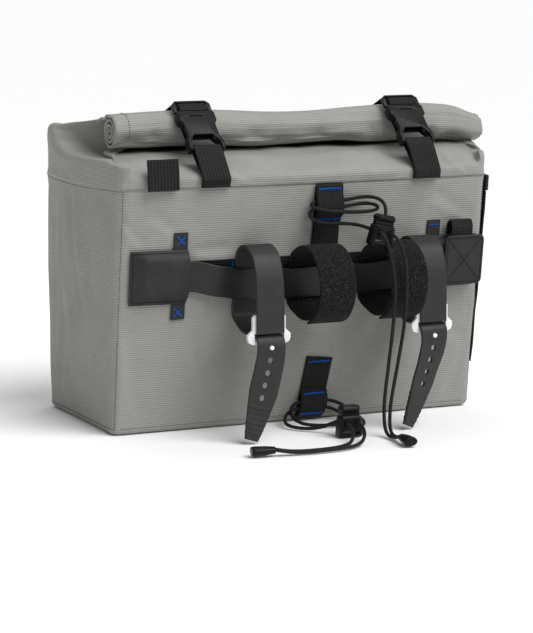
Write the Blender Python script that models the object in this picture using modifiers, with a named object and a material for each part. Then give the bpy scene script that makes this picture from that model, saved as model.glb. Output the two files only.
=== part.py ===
"""Roll-top bicycle handlebar bag, in metres with +Z up.

X runs along the bag's width, the handlebar side faces -Y and the bag stands on its flat base at z = 0.
The straps, loops, cords and buckles on the handlebar side are separate pieces, each with its own object.
"""

import math

import bmesh
import bpy
from mathutils import Matrix, Vector
from mathutils.bvhtree import BVHTree

# Bag body
WIDTH = 0.340
BASE_DEPTH = 0.154
PANEL_LEAN = 0.026
SEAM_HEIGHT = 0.208
PANEL_BULGE = 0.010
SIDE_BULGE = 0.012
BACK_BULGE = 0.008
CORNER_RADIUS = 0.006
BASE_ROUNDING = 0.004
WALL = 0.0015
GAP = 0.0003

# Roll-top closure
ROLL_RADIUS = 0.0165
ROLL_Y = -0.052
ROLL_RISE = 0.044
ROLL_OVERHANG_LEFT = -0.009
ROLL_OVERHANG_RIGHT = 0.018
ROLL_BAND = 0.0018
ROLL_PITCH = 0.0042
ROLL_TURNS = 1.85
RIDGE_RISE = 0.042
NECK_RISE = 0.0265
GUSSET_TUCK = 0.048

# Webbing and straps
WEBBING_WIDTH = 0.025
WEBBING_THICK = 0.0016
SEAT = 0.0004
CLOSURE_X = (-0.0915, 0.1060)
BELT_HEIGHT = 0.1345
BELT_WIDTH = 0.026
BATTEN_WIDTH = 0.0265
BATTEN_THICK = 0.0025
CENTRE_X = 0.0120

# Pocket patches
POCKET_WIDTH = 0.050
POCKET_HEIGHT = 0.0455
POCKET_MARGIN = 0.0100
POCKET_INSET = 0.0330
POCKET_CENTRE = WIDTH / 2 - POCKET_INSET
PATCH_THICK = 0.0012
TAB_WIDTH = 0.0125
TAB_LENGTH = 0.0140

# Handlebar loops
BAR_HEIGHT = 0.1265
RUBBER_INSET = 0.0426
RUBBER_X = (-0.0585, POCKET_CENTRE - RUBBER_INSET)
RUBBER_WIDTH = 0.0250
RUBBER_THICK = 0.0026
RUBBER_DEPTH = 0.0485
RUBBER_RISE = 0.0335
HOLE_DIAMETER = 0.0050
HOLE_PITCH = 0.0106
HOLE_COUNT = 6
FIRST_HOLE_GAP = 0.0035
HOLE_BELOW_FRAME = 0.0025
FRAME_DROP = 0.0120
TAIL_DRIFT = (-0.0200, -0.0265)
TAIL_TWIST = (-0.10, 0.30)
HOOK_SPACING = 0.0316
HOOK_X = (-0.0050, RUBBER_X[1] - HOOK_SPACING)
HOOK_WIDTH = 0.0330
HOOK_THICK = 0.0022
HOOK_RADIUS = 0.0330

# Side-release buckles
BUCKLE_WIDTH = 0.0344
BUCKLE_WAIST = 0.0292
BUCKLE_LENGTH = 0.0420
BUCKLE_THICK = 0.0084
BUCKLE_BAR = 0.0034
LADDER_LENGTH = 0.0126
LADDER_BAR = 0.0015
LADDER_THICK = 0.0028
LEAVE_COLLAR = 0.08

# Cords, cord locks and cord ends
CORD_DIAMETER = 0.0030
LOCK_WIDTH = 0.0220
LOCK_DEPTH = 0.0120
LOCK_HOLE_SPACING = 0.0097
LOCK_HOLE = 0.0040
LOCK_TRAVEL = 0.0020
END_LENGTH = 0.0200
END_WIDTH = 0.0125

# Height share, and the share of each bulge that shows at that height
BODY_LEVELS = (
    # height, front, side, back
    (0.00, 0.00, 0.00, 0.00),
    (0.02, 0.00, 0.02, 0.02),
    (0.12, 0.12, 0.30, 0.30),
    (0.26, 0.30, 0.60, 0.60),
    (0.40, 0.48, 0.80, 0.85),
    (0.54, 0.64, 0.92, 1.00),
    (0.68, 0.78, 1.00, 1.05),
    (0.84, 0.92, 1.02, 1.05),
    (1.00, 1.00, 1.00, 1.00),
)

# Soft dents and swells of the handlebar panel, and of the left side panel
PANEL_DENTS = (
    # across (share of half width), height share, spread share, depth (share of the panel bulge)
    (-0.62, 0.86, 0.10, 0.22),
    (-0.55, 0.30, 0.13, -0.26),
    (0.10, 0.86, 0.12, 0.20),
    (0.55, 0.28, 0.14, -0.24),
    (0.88, 0.45, 0.10, 0.22),
)
SIDE_DENTS = (
    # across (share of half depth), height share, spread share, depth (share of the side bulge)
    (-0.45, 0.62, 0.13, 0.24),
    (0.35, 0.42, 0.15, 0.22),
    (0.05, 0.80, 0.12, -0.16),
)

# The gusset's rim, from the handlebar side to the far side, and how far the cup inside it dips
GUSSET_RIM = (
    # depth share, rise (share of the ridge's rise)
    (0.00, 0.45),
    (0.15, 0.54),
    (0.35, 0.54),
    (0.55, 0.57),
    (0.72, 0.70),
    (0.88, 0.90),
    (1.00, 1.00),
)
CUP_DIP = 0.006

# The roll's shape along its length
ROLL_SECTIONS = (
    # length share, height scale, depth scale, lift (share of the roll's radius)
    (0.00, 0.93, 0.98, 0.00),
    (0.05, 0.96, 1.00, 0.02),
    (0.12, 1.00, 1.00, 0.04),
    (0.20, 1.00, 1.00, 0.00),
    (0.30, 0.97, 1.00, -0.04),
    (0.42, 0.93, 1.02, -0.10),
    (0.55, 0.92, 1.00, -0.10),
    (0.67, 0.97, 0.99, -0.06),
    (0.77, 1.00, 1.00, 0.00),
    (0.86, 1.05, 1.05, -0.06),
    (0.93, 0.98, 1.04, -0.16),
    (1.00, 0.72, 0.88, -0.40),
)

# Routes of the two cords, chosen by hand, from the cord end, through the lock and loop, and back again
UPPER_CORD_ROUTE = (
    (0.0345, -0.2012, 0.0050),
    (0.0352, -0.1920, 0.0026),
    (0.0350, -0.1790, 0.0021),
    (0.0362, -0.1718, 0.0090),
    (0.0372, -0.1692, 0.0280),
    (0.0415, -0.1684, 0.0600),
    (0.0452, -0.1690, 0.0930),
    (0.0465, -0.1700, 0.1250),
    (0.0425, -0.1700, 0.1500),
    (0.0385, -0.1680, 0.1655),
    (0.03726, -0.1615, 0.17101),
    (0.03726, -0.1430, 0.17101),
    (0.0352, -0.1335, 0.1728),
    (0.0280, -0.1260, 0.1745),
    (0.0180, -0.1205, 0.1745),
    (0.0050, -0.1188, 0.1750),
    (-0.0050, -0.1168, 0.1780),
    (-0.0095, -0.1155, 0.1830),
    (-0.0060, -0.1148, 0.1870),
    (0.0000, -0.1146, 0.1876),
    (0.0245, -0.1146, 0.1876),
    (0.0360, -0.1155, 0.1895),
    (0.0480, -0.1180, 0.1905),
    (0.0560, -0.1215, 0.1885),
    (0.0545, -0.1260, 0.1855),
    (0.0400, -0.1260, 0.1840),
    (0.0200, -0.1240, 0.1845),
    (0.0020, -0.1220, 0.1865),
    (-0.0080, -0.1188, 0.1900),
    (-0.0068, -0.1149, 0.1926),
    (0.0000, -0.1144, 0.1928),
    (0.0245, -0.1144, 0.1928),
    (0.0340, -0.1155, 0.1945),
    (0.0460, -0.1210, 0.1965),
    (0.0555, -0.1320, 0.1930),
    (0.0545, -0.1370, 0.1810),
    (0.0490, -0.1390, 0.1715),
    (0.04674, -0.1430, 0.16899),
    (0.04674, -0.1615, 0.16899),
    (0.0495, -0.1690, 0.1650),
    (0.0545, -0.1712, 0.1500),
    (0.0565, -0.1712, 0.1250),
    (0.0555, -0.1692, 0.0930),
    (0.0500, -0.1686, 0.0600),
    (0.0435, -0.1692, 0.0280),
    (0.0410, -0.1718, 0.0090),
    (0.0392, -0.1790, 0.0021),
    (0.0386, -0.1920, 0.0026),
    (0.0380, -0.2012, 0.0050),
)
LOWER_CORD_ROUTE = (
    (-0.0790, -0.2040, 0.0048),
    (-0.0660, -0.2062, 0.0024),
    (-0.0460, -0.2078, 0.0021),
    (-0.0220, -0.2050, 0.0021),
    (-0.0050, -0.1945, 0.0030),
    (0.0020, -0.1810, 0.0095),
    (0.00415, -0.1690, 0.0125),
    (0.00415, -0.1510, 0.0125),
    (0.0020, -0.1410, 0.0080),
    (-0.0080, -0.1300, 0.0024),
    (-0.0210, -0.1160, 0.0021),
    (-0.0240, -0.1020, 0.0036),
    (-0.0150, -0.0890, 0.0095),
    (-0.0050, -0.0845, 0.0118),
    (0.0020, -0.0838, 0.0120),
    (0.0220, -0.0838, 0.0120),
    (0.0310, -0.0875, 0.0098),
    (0.0375, -0.0980, 0.0032),
    (0.0340, -0.1120, 0.0021),
    (0.0200, -0.1190, 0.0021),
    (0.0020, -0.1170, 0.0021),
    (-0.0120, -0.1060, 0.0032),
    (-0.0150, -0.0965, 0.0085),
    (-0.0110, -0.0875, 0.0156),
    (-0.0040, -0.0850, 0.0174),
    (0.0030, -0.0846, 0.0175),
    (0.0220, -0.0846, 0.0175),
    (0.0330, -0.0870, 0.0165),
    (0.0440, -0.0980, 0.0070),
    (0.0470, -0.1130, 0.0020),
    (0.0380, -0.1290, 0.0020),
    (0.0215, -0.1410, 0.0075),
    (0.0152, -0.1475, 0.0118),
    (0.01385, -0.1515, 0.0125),
    (0.01385, -0.1690, 0.0125),
    (0.0120, -0.1830, 0.0095),
    (0.0020, -0.1990, 0.0030),
    (-0.0180, -0.2100, 0.0021),
    (-0.0460, -0.2120, 0.0021),
    (-0.0670, -0.2100, 0.0024),
    (-0.0795, -0.2075, 0.0048),
)
UPPER_CORD_POINTS = 72
LOWER_CORD_POINTS = 50
UPPER_LOCK_AT = (0.0420, -0.1535, 0.1700)
UPPER_LOCK_TILT = math.radians(12)
LOWER_LOCK_AT = (0.0090, -0.1600, 0.0125)

COLOURS = {
    # name: (red, green, blue, roughness, metallic)
    "fabric": (0.36, 0.37, 0.34, 0.85, 0.0),
    "webbing": (0.025, 0.025, 0.027, 0.80, 0.0),
    "patch": (0.045, 0.044, 0.045, 0.65, 0.0),
    "rubber": (0.050, 0.050, 0.052, 0.60, 0.0),
    "plastic": (0.018, 0.018, 0.020, 0.35, 0.0),
    "white": (0.86, 0.87, 0.88, 0.35, 0.0),
    "pile": (0.020, 0.020, 0.022, 0.95, 0.0),
    "cord": (0.020, 0.020, 0.022, 0.75, 0.0),
}


# Scene helpers

def clear_scene():
    for obj in list(bpy.data.objects):
        bpy.data.objects.remove(obj, do_unlink=True)


def new_collection(name):
    collection = bpy.data.collections.new(name)
    bpy.context.scene.collection.children.link(collection)
    return collection


def material(name):
    found = bpy.data.materials.get(name)
    if found:
        return found
    made = bpy.data.materials.new(name)
    made.use_nodes = True
    shader = made.node_tree.nodes["Principled BSDF"]
    red, green, blue, roughness, metallic = COLOURS[name]
    shader.inputs["Base Color"].default_value = (red, green, blue, 1.0)
    shader.inputs["Roughness"].default_value = roughness
    shader.inputs["Metallic"].default_value = metallic
    made.diffuse_color = (red, green, blue, 1.0)
    return made


def surface_of(obj):
    """An object's surface, for seating other pieces on it."""
    corners = [obj.matrix_world @ v.co for v in obj.data.vertices]
    return BVHTree.FromPolygons(corners, [tuple(p.vertices) for p in obj.data.polygons])


def add_object(name, mesh, look):
    obj = bpy.data.objects.new(name, mesh)
    PARTS.objects.link(obj)
    if look:
        mesh.materials.append(material(look))
    return obj


def make_cutter(obj):
    """Moves an object to the cutters, out of the finished model."""
    PARTS.objects.unlink(obj)
    CUTTERS.objects.link(obj)
    obj.hide_render = True
    obj.display_type = "WIRE"
    return obj


def combine(obj, other, operation):
    modifier = obj.modifiers.new(operation.title(), "BOOLEAN")
    modifier.object = make_cutter(other)
    modifier.operation = operation
    return obj


def cut(obj, cutter):
    return combine(obj, cutter, "DIFFERENCE")


def fuse(obj, other):
    return combine(obj, other, "UNION")


def place(obj, matrix):
    """Moves an object together with what is cut from it or joined to it."""
    obj.matrix_world = matrix @ obj.matrix_world
    for modifier in obj.modifiers:
        if modifier.type == "BOOLEAN":
            modifier.object.matrix_world = matrix @ modifier.object.matrix_world
    return obj


def round_edges(obj, width, segments=1):
    modifier = obj.modifiers.new("Bevel", "BEVEL")
    modifier.width = width
    modifier.segments = segments
    modifier.limit_method = "ANGLE"
    return obj


def thicken(obj, thickness):
    modifier = obj.modifiers.new("Solidify", "SOLIDIFY")
    modifier.thickness = thickness
    modifier.offset = -1.0
    return obj


def shade_round(obj):
    obj.data.shade_smooth()
    obj.data.set_sharp_from_angle(angle=math.radians(40))
    return obj


# Geometry helpers

def lerp(a, b, share):
    return a + (b - a) * share


def table_value(table, column, share):
    """The value in a table's column at a share between its rows, eased from row to row."""
    for low, high in zip(table, table[1:]):
        if share <= high[0]:
            step = (share - low[0]) / (high[0] - low[0])
            step = min(max(step, 0.0), 1.0)
            return lerp(low[column], high[column], step * step * (3 - 2 * step))
    return table[-1][column]


def smooth_path(points, count):
    """Evenly spaced points on a smooth curve through the given ones."""
    knots = [Vector(p) for p in points]
    knots = [knots[0] * 2 - knots[1]] + knots + [knots[-1] * 2 - knots[-2]]
    dense = []
    for i in range(1, len(knots) - 2):
        before, start, end, after = knots[i - 1:i + 3]
        for step in range(12):
            t = step / 12
            dense.append(0.5 * (2 * start + (end - before) * t
                                + (2 * before - 5 * start + 4 * end - after) * t ** 2
                                + (3 * start - before - 3 * end + after) * t ** 3))
    dense.append(knots[-2])
    lengths = [0.0]
    for a, b in zip(dense, dense[1:]):
        lengths.append(lengths[-1] + (b - a).length)
    path = []
    at = 0
    for i in range(count):
        target = lengths[-1] * i / (count - 1)
        while at < len(lengths) - 2 and lengths[at + 1] < target:
            at += 1
        share = (target - lengths[at]) / max(lengths[at + 1] - lengths[at], 1e-9)
        path.append(dense[at].lerp(dense[at + 1], share))
    return path


def mesh_from_rings(name, rings, look, ring_closed=True, first_cap=False, last_cap=False,
                    loop_closed=False):
    """A mesh lofted through rings of equal length."""
    size = len(rings[0])
    verts = [p for ring in rings for p in ring]
    faces = []
    spans = size if ring_closed else size - 1
    bands = len(rings) if loop_closed else len(rings) - 1
    for i in range(bands):
        following = (i + 1) % len(rings)
        for j in range(spans):
            k = (j + 1) % size
            faces.append((i * size + j, i * size + k, following * size + k, following * size + j))
    if first_cap:
        faces.append(tuple(reversed(range(size))))
    if last_cap:
        faces.append(tuple(range((len(rings) - 1) * size, len(rings) * size)))
    mesh = bpy.data.meshes.new(name)
    mesh.from_pydata([tuple(v) for v in verts], [], faces)
    mesh.update()
    return shade_round(add_object(name, mesh, look))


def face_outwards(obj):
    sheet = bmesh.new()
    sheet.from_mesh(obj.data)
    bmesh.ops.recalc_face_normals(sheet, faces=sheet.faces)
    sheet.to_mesh(obj.data)
    sheet.free()
    return obj


def ribbon(name, path, across, width, thickness, look, loop_closed=False):
    """A flat band swept along a path. across and width may be one value or one for each point."""
    count = len(path)
    rings = []
    for i, point in enumerate(path):
        if loop_closed:
            along = path[(i + 1) % count] - path[i - 1]
        else:
            along = path[min(i + 1, count - 1)] - path[max(i - 1, 0)]
        side = (across[i] if isinstance(across, list) else Vector(across)).normalized()
        normal = side.cross(along).normalized()
        side = along.cross(normal).normalized()
        half = (width[i] if isinstance(width, list) else width) / 2
        lift = normal * thickness / 2
        rings.append([point + side * half + lift, point - side * half + lift,
                      point - side * half - lift, point + side * half - lift])
    capped = not loop_closed
    made = mesh_from_rings(name, rings, look, True, capped, capped, loop_closed)
    return face_outwards(made)


def box(name, size, centre, look=None):
    mesh = bpy.data.meshes.new(name)
    block = bmesh.new()
    bmesh.ops.create_cube(block, size=1.0)
    bmesh.ops.scale(block, vec=size, verts=block.verts)
    bmesh.ops.translate(block, vec=centre, verts=block.verts)
    block.to_mesh(mesh)
    block.free()
    return add_object(name, mesh, look)


def rod(name, diameter, start, end, sides=12, look=None):
    """A round bar between two points."""
    start, end = Vector(start), Vector(end)
    mesh = bpy.data.meshes.new(name)
    bar = bmesh.new()
    bmesh.ops.create_cone(bar, cap_ends=True, segments=sides, radius1=diameter / 2,
                          radius2=diameter / 2, depth=(end - start).length)
    turn = (end - start).to_track_quat("Z", "Y").to_matrix().to_4x4()
    bmesh.ops.transform(bar, matrix=Matrix.Translation((start + end) / 2) @ turn, verts=bar.verts)
    bar.to_mesh(mesh)
    bar.free()
    return add_object(name, mesh, look)


def plate(name, outline, thickness, look=None):
    """A flat outline in the XY plane, thickened both ways."""
    drawing = bpy.data.curves.new(name + "_outline", "CURVE")
    drawing.dimensions = "2D"
    drawing.fill_mode = "BOTH"
    drawing.extrude = thickness / 2
    spline = drawing.splines.new("POLY")
    spline.points.add(len(outline) - 1)
    for point, (x, y) in zip(spline.points, outline):
        point.co = (x, y, 0.0, 1.0)
    spline.use_cyclic_u = True
    holder = bpy.data.objects.new(name + "_outline", drawing)
    PARTS.objects.link(holder)
    bpy.context.view_layer.update()
    graph = bpy.context.evaluated_depsgraph_get()
    mesh = bpy.data.meshes.new_from_object(holder.evaluated_get(graph))
    bpy.data.objects.remove(holder, do_unlink=True)
    sheet = bmesh.new()
    sheet.from_mesh(mesh)
    bmesh.ops.remove_doubles(sheet, verts=sheet.verts, dist=0.00001)
    bmesh.ops.recalc_face_normals(sheet, faces=sheet.faces)
    sheet.to_mesh(mesh)
    sheet.free()
    mesh.materials.clear()
    mesh.name = name
    return add_object(name, mesh, look)


def mirrored(half):
    """An outline from the points on its right side, top to bottom."""
    return list(half) + [(-x, y) for x, y in reversed(half) if x > 0]


def tube(name, route, diameter, count, look):
    curve = bpy.data.curves.new(name, "CURVE")
    curve.dimensions = "3D"
    curve.bevel_depth = diameter / 2
    curve.bevel_resolution = 2
    curve.use_fill_caps = True
    curve.materials.append(material(look))
    path = smooth_path(route, count)
    spline = curve.splines.new("POLY")
    spline.points.add(len(path) - 1)
    for point, place in zip(spline.points, path):
        point.co = (*place, 1.0)
    obj = bpy.data.objects.new(name, curve)
    PARTS.objects.link(obj)
    return obj


# Where the body's cloth is

def height_share(z):
    return min(max(z / SEAM_HEIGHT, 0.0), 1.0)


def dents(table, across, share, bulge):
    total = 0.0
    for u, v, spread, depth in table:
        away = ((across - u) ** 2 + (share - v) ** 2) / spread ** 2
        total += depth * bulge * math.exp(-away)
    return total * min(1.0, share * 4.0) * (1.0 - share ** 6)


def panel_y(x, z):
    share = height_share(z)
    across = 2 * x / WIDTH
    bulge = PANEL_BULGE * table_value(BODY_LEVELS, 1, share) * max(1 - across ** 2, 0.0)
    return (-BASE_DEPTH / 2 - PANEL_LEAN * share - bulge
            + dents(PANEL_DENTS, across, share, PANEL_BULGE))


def back_y(x, z):
    share = height_share(z)
    across = 2 * x / WIDTH
    bulge = BACK_BULGE * table_value(BODY_LEVELS, 3, share) * max(1 - across ** 2, 0.0)
    return BASE_DEPTH / 2 + bulge


def side_x(y, z, side):
    share = height_share(z)
    near = -BASE_DEPTH / 2 - PANEL_LEAN * share
    far = BASE_DEPTH / 2
    across = 2 * (y - near) / (far - near) - 1
    bulge = SIDE_BULGE * table_value(BODY_LEVELS, 2, share) * max(1 - across ** 2, 0.0)
    if side < 0:
        bulge -= dents(SIDE_DENTS, across, share, SIDE_BULGE)
    else:
        bulge *= 0.7
    return side * (WIDTH / 2 + bulge)


PANEL_SPANS = 11
SIDE_SPANS = 5
CORNER_SPANS = 2


def body_ring(z, inset=0.0):
    """Points round the body at one height, each with its place along the edge it lies on."""
    share = height_share(z)
    near = -BASE_DEPTH / 2 - PANEL_LEAN * share
    far = BASE_DEPTH / 2
    half = WIDTH / 2 - CORNER_RADIUS
    low, high = near + CORNER_RADIUS, far - CORNER_RADIUS
    points = []

    def corner(cx, cy, start):
        for step in range(1, CORNER_SPANS):
            angle = math.radians(start + 90 * step / CORNER_SPANS)
            points.append((cx + CORNER_RADIUS * math.cos(angle), cy + CORNER_RADIUS * math.sin(angle)))

    for step in range(PANEL_SPANS + 1):
        x = lerp(-half, half, step / PANEL_SPANS)
        points.append((x, panel_y(x, z)))
    corner(half, low, 270)
    for step in range(SIDE_SPANS + 1):
        y = lerp(low, high, step / SIDE_SPANS)
        points.append((side_x(y, z, 1), y))
    corner(half, high, 0)
    for step in range(PANEL_SPANS + 1):
        x = lerp(half, -half, step / PANEL_SPANS)
        points.append((x, back_y(x, z)))
    corner(-half, high, 90)
    for step in range(SIDE_SPANS + 1):
        y = lerp(high, low, step / SIDE_SPANS)
        points.append((side_x(y, z, -1), y))
    corner(-half, low, 180)
    middle_y = (near + far) / 2
    ring = []
    for x, y in points:
        outward = Vector((x, y - middle_y, 0.0))
        shrink_x = inset if abs(x) > half - 0.001 else inset * abs(outward.x) / (WIDTH / 2)
        shrink_y = inset * abs(outward.y) / ((far - near) / 2)
        ring.append(Vector((x - math.copysign(shrink_x, x), y - math.copysign(shrink_y, outward.y), z)))
    return ring


def make_body():
    rings = [body_ring(0.0, BASE_ROUNDING), body_ring(BASE_ROUNDING * 0.3, BASE_ROUNDING * 0.3)]
    for share, *_ in BODY_LEVELS[1:]:
        rings.append(body_ring(min(share * SEAM_HEIGHT, SEAM_HEIGHT - GAP)))
    body = mesh_from_rings("bag_body", rings, "fabric", True, True, False)
    thicken(face_outwards(body), WALL)
    return body


# The collar between the seam and the roll

def collar_point_paths():
    """For each point of the seam's ring, the route of the cloth from the seam up to the neck."""
    ring = body_ring(SEAM_HEIGHT)
    neck_front = (ROLL_Y + 0.010, SEAM_HEIGHT + NECK_RISE)
    neck_back = (ROLL_Y + 0.0178, SEAM_HEIGHT + ROLL_RISE + 0.0105)
    fold = (ROLL_Y + 0.0235, SEAM_HEIGHT + (NECK_RISE + ROLL_RISE) / 2 + 0.004)
    left = -WIDTH / 2 - ROLL_OVERHANG_LEFT
    right = WIDTH / 2 + ROLL_OVERHANG_RIGHT
    ridge_z = SEAM_HEIGHT + RIDGE_RISE
    start_z = SEAM_HEIGHT + GAP * 1.5
    near, far = -BASE_DEPTH / 2 - PANEL_LEAN, BASE_DEPTH / 2
    paths = []
    for point in ring:
        x, y = point.x, point.y
        share = (y - near) / (far - near)
        along = (x + WIDTH / 2) / WIDTH
        neck_x = lerp(left, right, along)
        start = Vector((x, y, start_z))
        on_side = abs(x) > WIDTH / 2 - CORNER_RADIUS - 0.0005
        if not on_side and y < 0:
            slack = 0.0025 * math.sin(along * 23.0)
            paths.append([start, Vector((x, y - 0.0004, start_z + 0.010)),
                          Vector((lerp(x, neck_x, 0.3), lerp(y, neck_front[0], 0.35), start_z + 0.019 + slack)),
                          Vector((lerp(x, neck_x, 0.7), lerp(y, neck_front[0], 0.72), start_z + 0.0245)),
                          Vector((neck_x, *neck_front))])
        elif not on_side:
            edge = abs(2 * along - 1)
            paths.append([start, Vector((x, y + 0.001, start_z + 0.022)),
                          Vector((x, y - 0.003, ridge_z - 0.006)),
                          Vector((x, y - 0.014, ridge_z + 0.0005)),
                          Vector((lerp(x, neck_x, 0.4), 0.018, ridge_z + 0.0055 - 0.002 * edge)),
                          Vector((neck_x, *neck_back))])
        else:
            side = math.copysign(1.0, x)
            end_x = left if side < 0 else right
            tuck_x = end_x - side * GUSSET_TUCK
            rise = RIDGE_RISE * table_value(GUSSET_RIM, 1, min(max(share, 0.0), 1.0))
            rim = Vector((x - side * 0.001, y, SEAM_HEIGHT + rise))
            if share < 0.5:
                turn = share / 0.5
                neck = Vector((lerp(end_x, tuck_x, turn), lerp(neck_front[0], fold[0], turn),
                               lerp(neck_front[1], fold[1], turn)))
            else:
                turn = (share - 0.5) / 0.5
                neck = Vector((lerp(tuck_x, end_x, turn), lerp(fold[0], neck_back[0], turn),
                               lerp(fold[1], neck_back[1], turn)))
            dip = CUP_DIP * math.sin(math.pi * min(max(share, 0.0), 1.0))
            inside = rim.lerp(neck, 0.22)
            inside.z -= dip * 0.4
            halfway = rim.lerp(neck, 0.55)
            halfway.z -= dip
            lower = start.lerp(rim, 0.5) + Vector((side * 0.0008, 0.0, 0.0))
            paths.append([start, lower, rim, inside, halfway, neck])
    return paths


COLLAR_BANDS = 8


def make_collar():
    paths = [smooth_path(path, COLLAR_BANDS + 1) for path in collar_point_paths()]
    rings = [[path[i] for path in paths] for i in range(COLLAR_BANDS + 1)]
    collar = mesh_from_rings("collar", rings, "fabric")
    # Faces already run the same way round as the body's, so the thickness goes inwards.
    thicken(collar, WALL * 0.8)
    return collar


def roll_section(share):
    """Centre height, height scale and depth scale of the roll at a share of its length."""
    lift = ROLL_RADIUS * table_value(ROLL_SECTIONS, 3, share)
    return lift, table_value(ROLL_SECTIONS, 1, share), table_value(ROLL_SECTIONS, 2, share)


def make_roll():
    left = -WIDTH / 2 - ROLL_OVERHANG_LEFT
    right = WIDTH / 2 + ROLL_OVERHANG_RIGHT
    steps = 23
    rings = []
    for share, *_ in ROLL_SECTIONS:
        lift, tall, deep = roll_section(share)
        x = lerp(left, right, share)
        ring = []
        for step in range(steps + 1):
            turns = ROLL_TURNS * step / steps
            angle = math.radians(42) + 2 * math.pi * turns
            radius = ROLL_RADIUS - ROLL_PITCH * turns
            ring.append(Vector((x, ROLL_Y + radius * deep * math.cos(angle),
                                SEAM_HEIGHT + ROLL_RISE + lift + radius * tall * math.sin(angle))))
        rings.append(ring)
    roll = mesh_from_rings("top_roll", rings, "fabric", False)
    thicken(roll, ROLL_BAND)
    return roll


# Webbing, patches and the belt

def seat_y(x, z, half, trees):
    """The outermost surface on the handlebar side, at one height and within half a width of x."""
    found = 1.0
    for step in range(-4, 5):
        for tree in trees:
            hit = tree.ray_cast(Vector((x + half * step / 4, -1.0, z)), Vector((0, 1, 0)))
            if hit[0]:
                found = min(found, hit[0].y)
    return found


def on_panel(x, z, out, half=WEBBING_WIDTH / 2):
    """A point that stands a distance out from the handlebar panel."""
    return Vector((x, seat_y(x, min(z, SEAM_HEIGHT - 2 * GAP), half, SURFACES[:1]) - out, z))


def along_panel(x, z, width, out, half):
    """The middle of a band that lies on the panel, and the direction across it, up the panel."""
    low, middle, high = (seat_y(x, z + width * share, half, SURFACES[:1]) for share in (-0.5, 0.0, 0.5))
    bow = max((low + high) / 2 - middle, 0.0)
    return Vector((x, (low + high) / 2 - bow - out, z)), Vector((0.0, high - low, width))


def make_belt():
    """Ribbed webbing sewn along the panel, between the two pockets."""
    reach = POCKET_CENTRE - POCKET_WIDTH / 2 + POCKET_MARGIN * 0.5
    out = SEAT + WEBBING_THICK / 2
    count = 20
    rows = [along_panel(lerp(-reach, reach, i / count), BELT_HEIGHT, BELT_WIDTH, out, 0.0)
            for i in range(count + 1)]
    return ribbon("belt_webbing", [row[0] for row in rows], [row[1] for row in rows], BELT_WIDTH,
                  WEBBING_THICK, "webbing")


BATTEN_ROUTE = (
    # across (share of the pocket centre), drop (share of the batten's width), out (1 over the loops)
    (-1.08, 0.02, 0.0),
    (-0.95, 0.02, 0.0),
    (-0.80, 0.00, 0.0),
    (-0.60, 0.20, 1.0),
    (-0.50, 0.32, 1.0),
    (-0.30, 0.38, 1.0),
    (0.00, 0.38, 1.0),
    (0.30, 0.36, 1.0),
    (0.60, 0.28, 1.0),
    (0.80, 0.12, 1.0),
    (0.98, 0.04, 0.0),
    (1.08, 0.02, 0.0),
)


def batten_out(share):
    near_panel = SEAT + WEBBING_THICK + SEAT + BATTEN_THICK / 2
    over_loops = near_panel + RUBBER_THICK + SEAT
    return lerp(near_panel, over_loops, share)


def make_batten():
    """Smooth stiffening strip that the four loops wrap round."""
    count = 29
    ends = BATTEN_ROUTE[0][0], BATTEN_ROUTE[-1][0]
    rows = []
    for i in range(count + 1):
        across = lerp(*ends, i / count)
        z = BELT_HEIGHT - table_value(BATTEN_ROUTE, 1, across) * BATTEN_WIDTH
        out = table_value(BATTEN_ROUTE, 2, across)
        rows.append(along_panel(across * POCKET_CENTRE, z, BATTEN_WIDTH, batten_out(out),
                                HOOK_WIDTH * out))
    return ribbon("batten", [row[0] for row in rows], [row[1] for row in rows], BATTEN_WIDTH,
                  BATTEN_THICK, "rubber")


POCKET_ROWS = (
    # height (share of the half height), rise of the patch
    (-1.00, 0.0),
    (-0.86, 0.28),
    (-0.72, 0.82),
    (-0.61, 1.0),
    (0.00, 1.0),
    (0.61, 1.0),
    (0.72, 0.82),
    (0.86, 0.28),
    (1.00, 0.0),
)
POCKET_COLUMNS = (
    # width from the sewn end (share), rise of the patch
    (0.00, 0.0),
    (0.08, 0.35),
    (0.16, 0.80),
    (0.24, 1.0),
    (0.60, 1.0),
    (0.82, 1.0),
    (1.00, 1.0),
)


def make_pocket(name, side, tabs):
    """Patch sewn on three sides, with its mouth towards the middle of the bag."""
    trees = SURFACES[:1] + [surface_of(bpy.data.objects[strip]) for strip in ("belt_webbing", "batten")]
    band = BATTEN_WIDTH * 0.55
    rings = []
    for share, end_rise in POCKET_COLUMNS:
        x = side * (POCKET_CENTRE + POCKET_WIDTH * (0.5 - share))
        near = POCKET_WIDTH * 0.1
        cover = min(seat_y(x, BELT_HEIGHT + band * step, near, trees) - PANEL_LEAN / SEAM_HEIGHT * -band * step
                    for step in (-1, -0.5, 0, 0.5, 1))
        ring = []
        for level, edge_rise in POCKET_ROWS:
            z = BELT_HEIGHT + POCKET_HEIGHT * level / 2
            sewn = seat_y(x, z, 0.002, trees[:1])
            raised = cover - PANEL_LEAN / SEAM_HEIGHT * (z - BELT_HEIGHT)
            y = lerp(sewn, min(raised, sewn), end_rise * edge_rise) - SEAT - PATCH_THICK
            ring.append(Vector((x, y, z)))
        rings.append(ring if side < 0 else ring[::-1])
    pocket = mesh_from_rings(name, rings, "patch", False)
    thicken(pocket, PATCH_THICK)
    for direction in tabs:
        x = side * (POCKET_CENTRE - POCKET_WIDTH / 2 + TAB_WIDTH / 2)
        edge = BELT_HEIGHT + direction * POCKET_HEIGHT / 2
        path = [on_panel(x, edge + direction * share * TAB_LENGTH, SEAT + PATCH_THICK / 2, TAB_WIDTH / 2)
                for share in (-0.12, 0.25, 0.6, 1.0)]
        tab = ribbon(name + "_tab", path, (1, 0, 0), TAB_WIDTH, PATCH_THICK * 1.02, None)
        fuse(pocket, tab)
    return pocket


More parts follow.
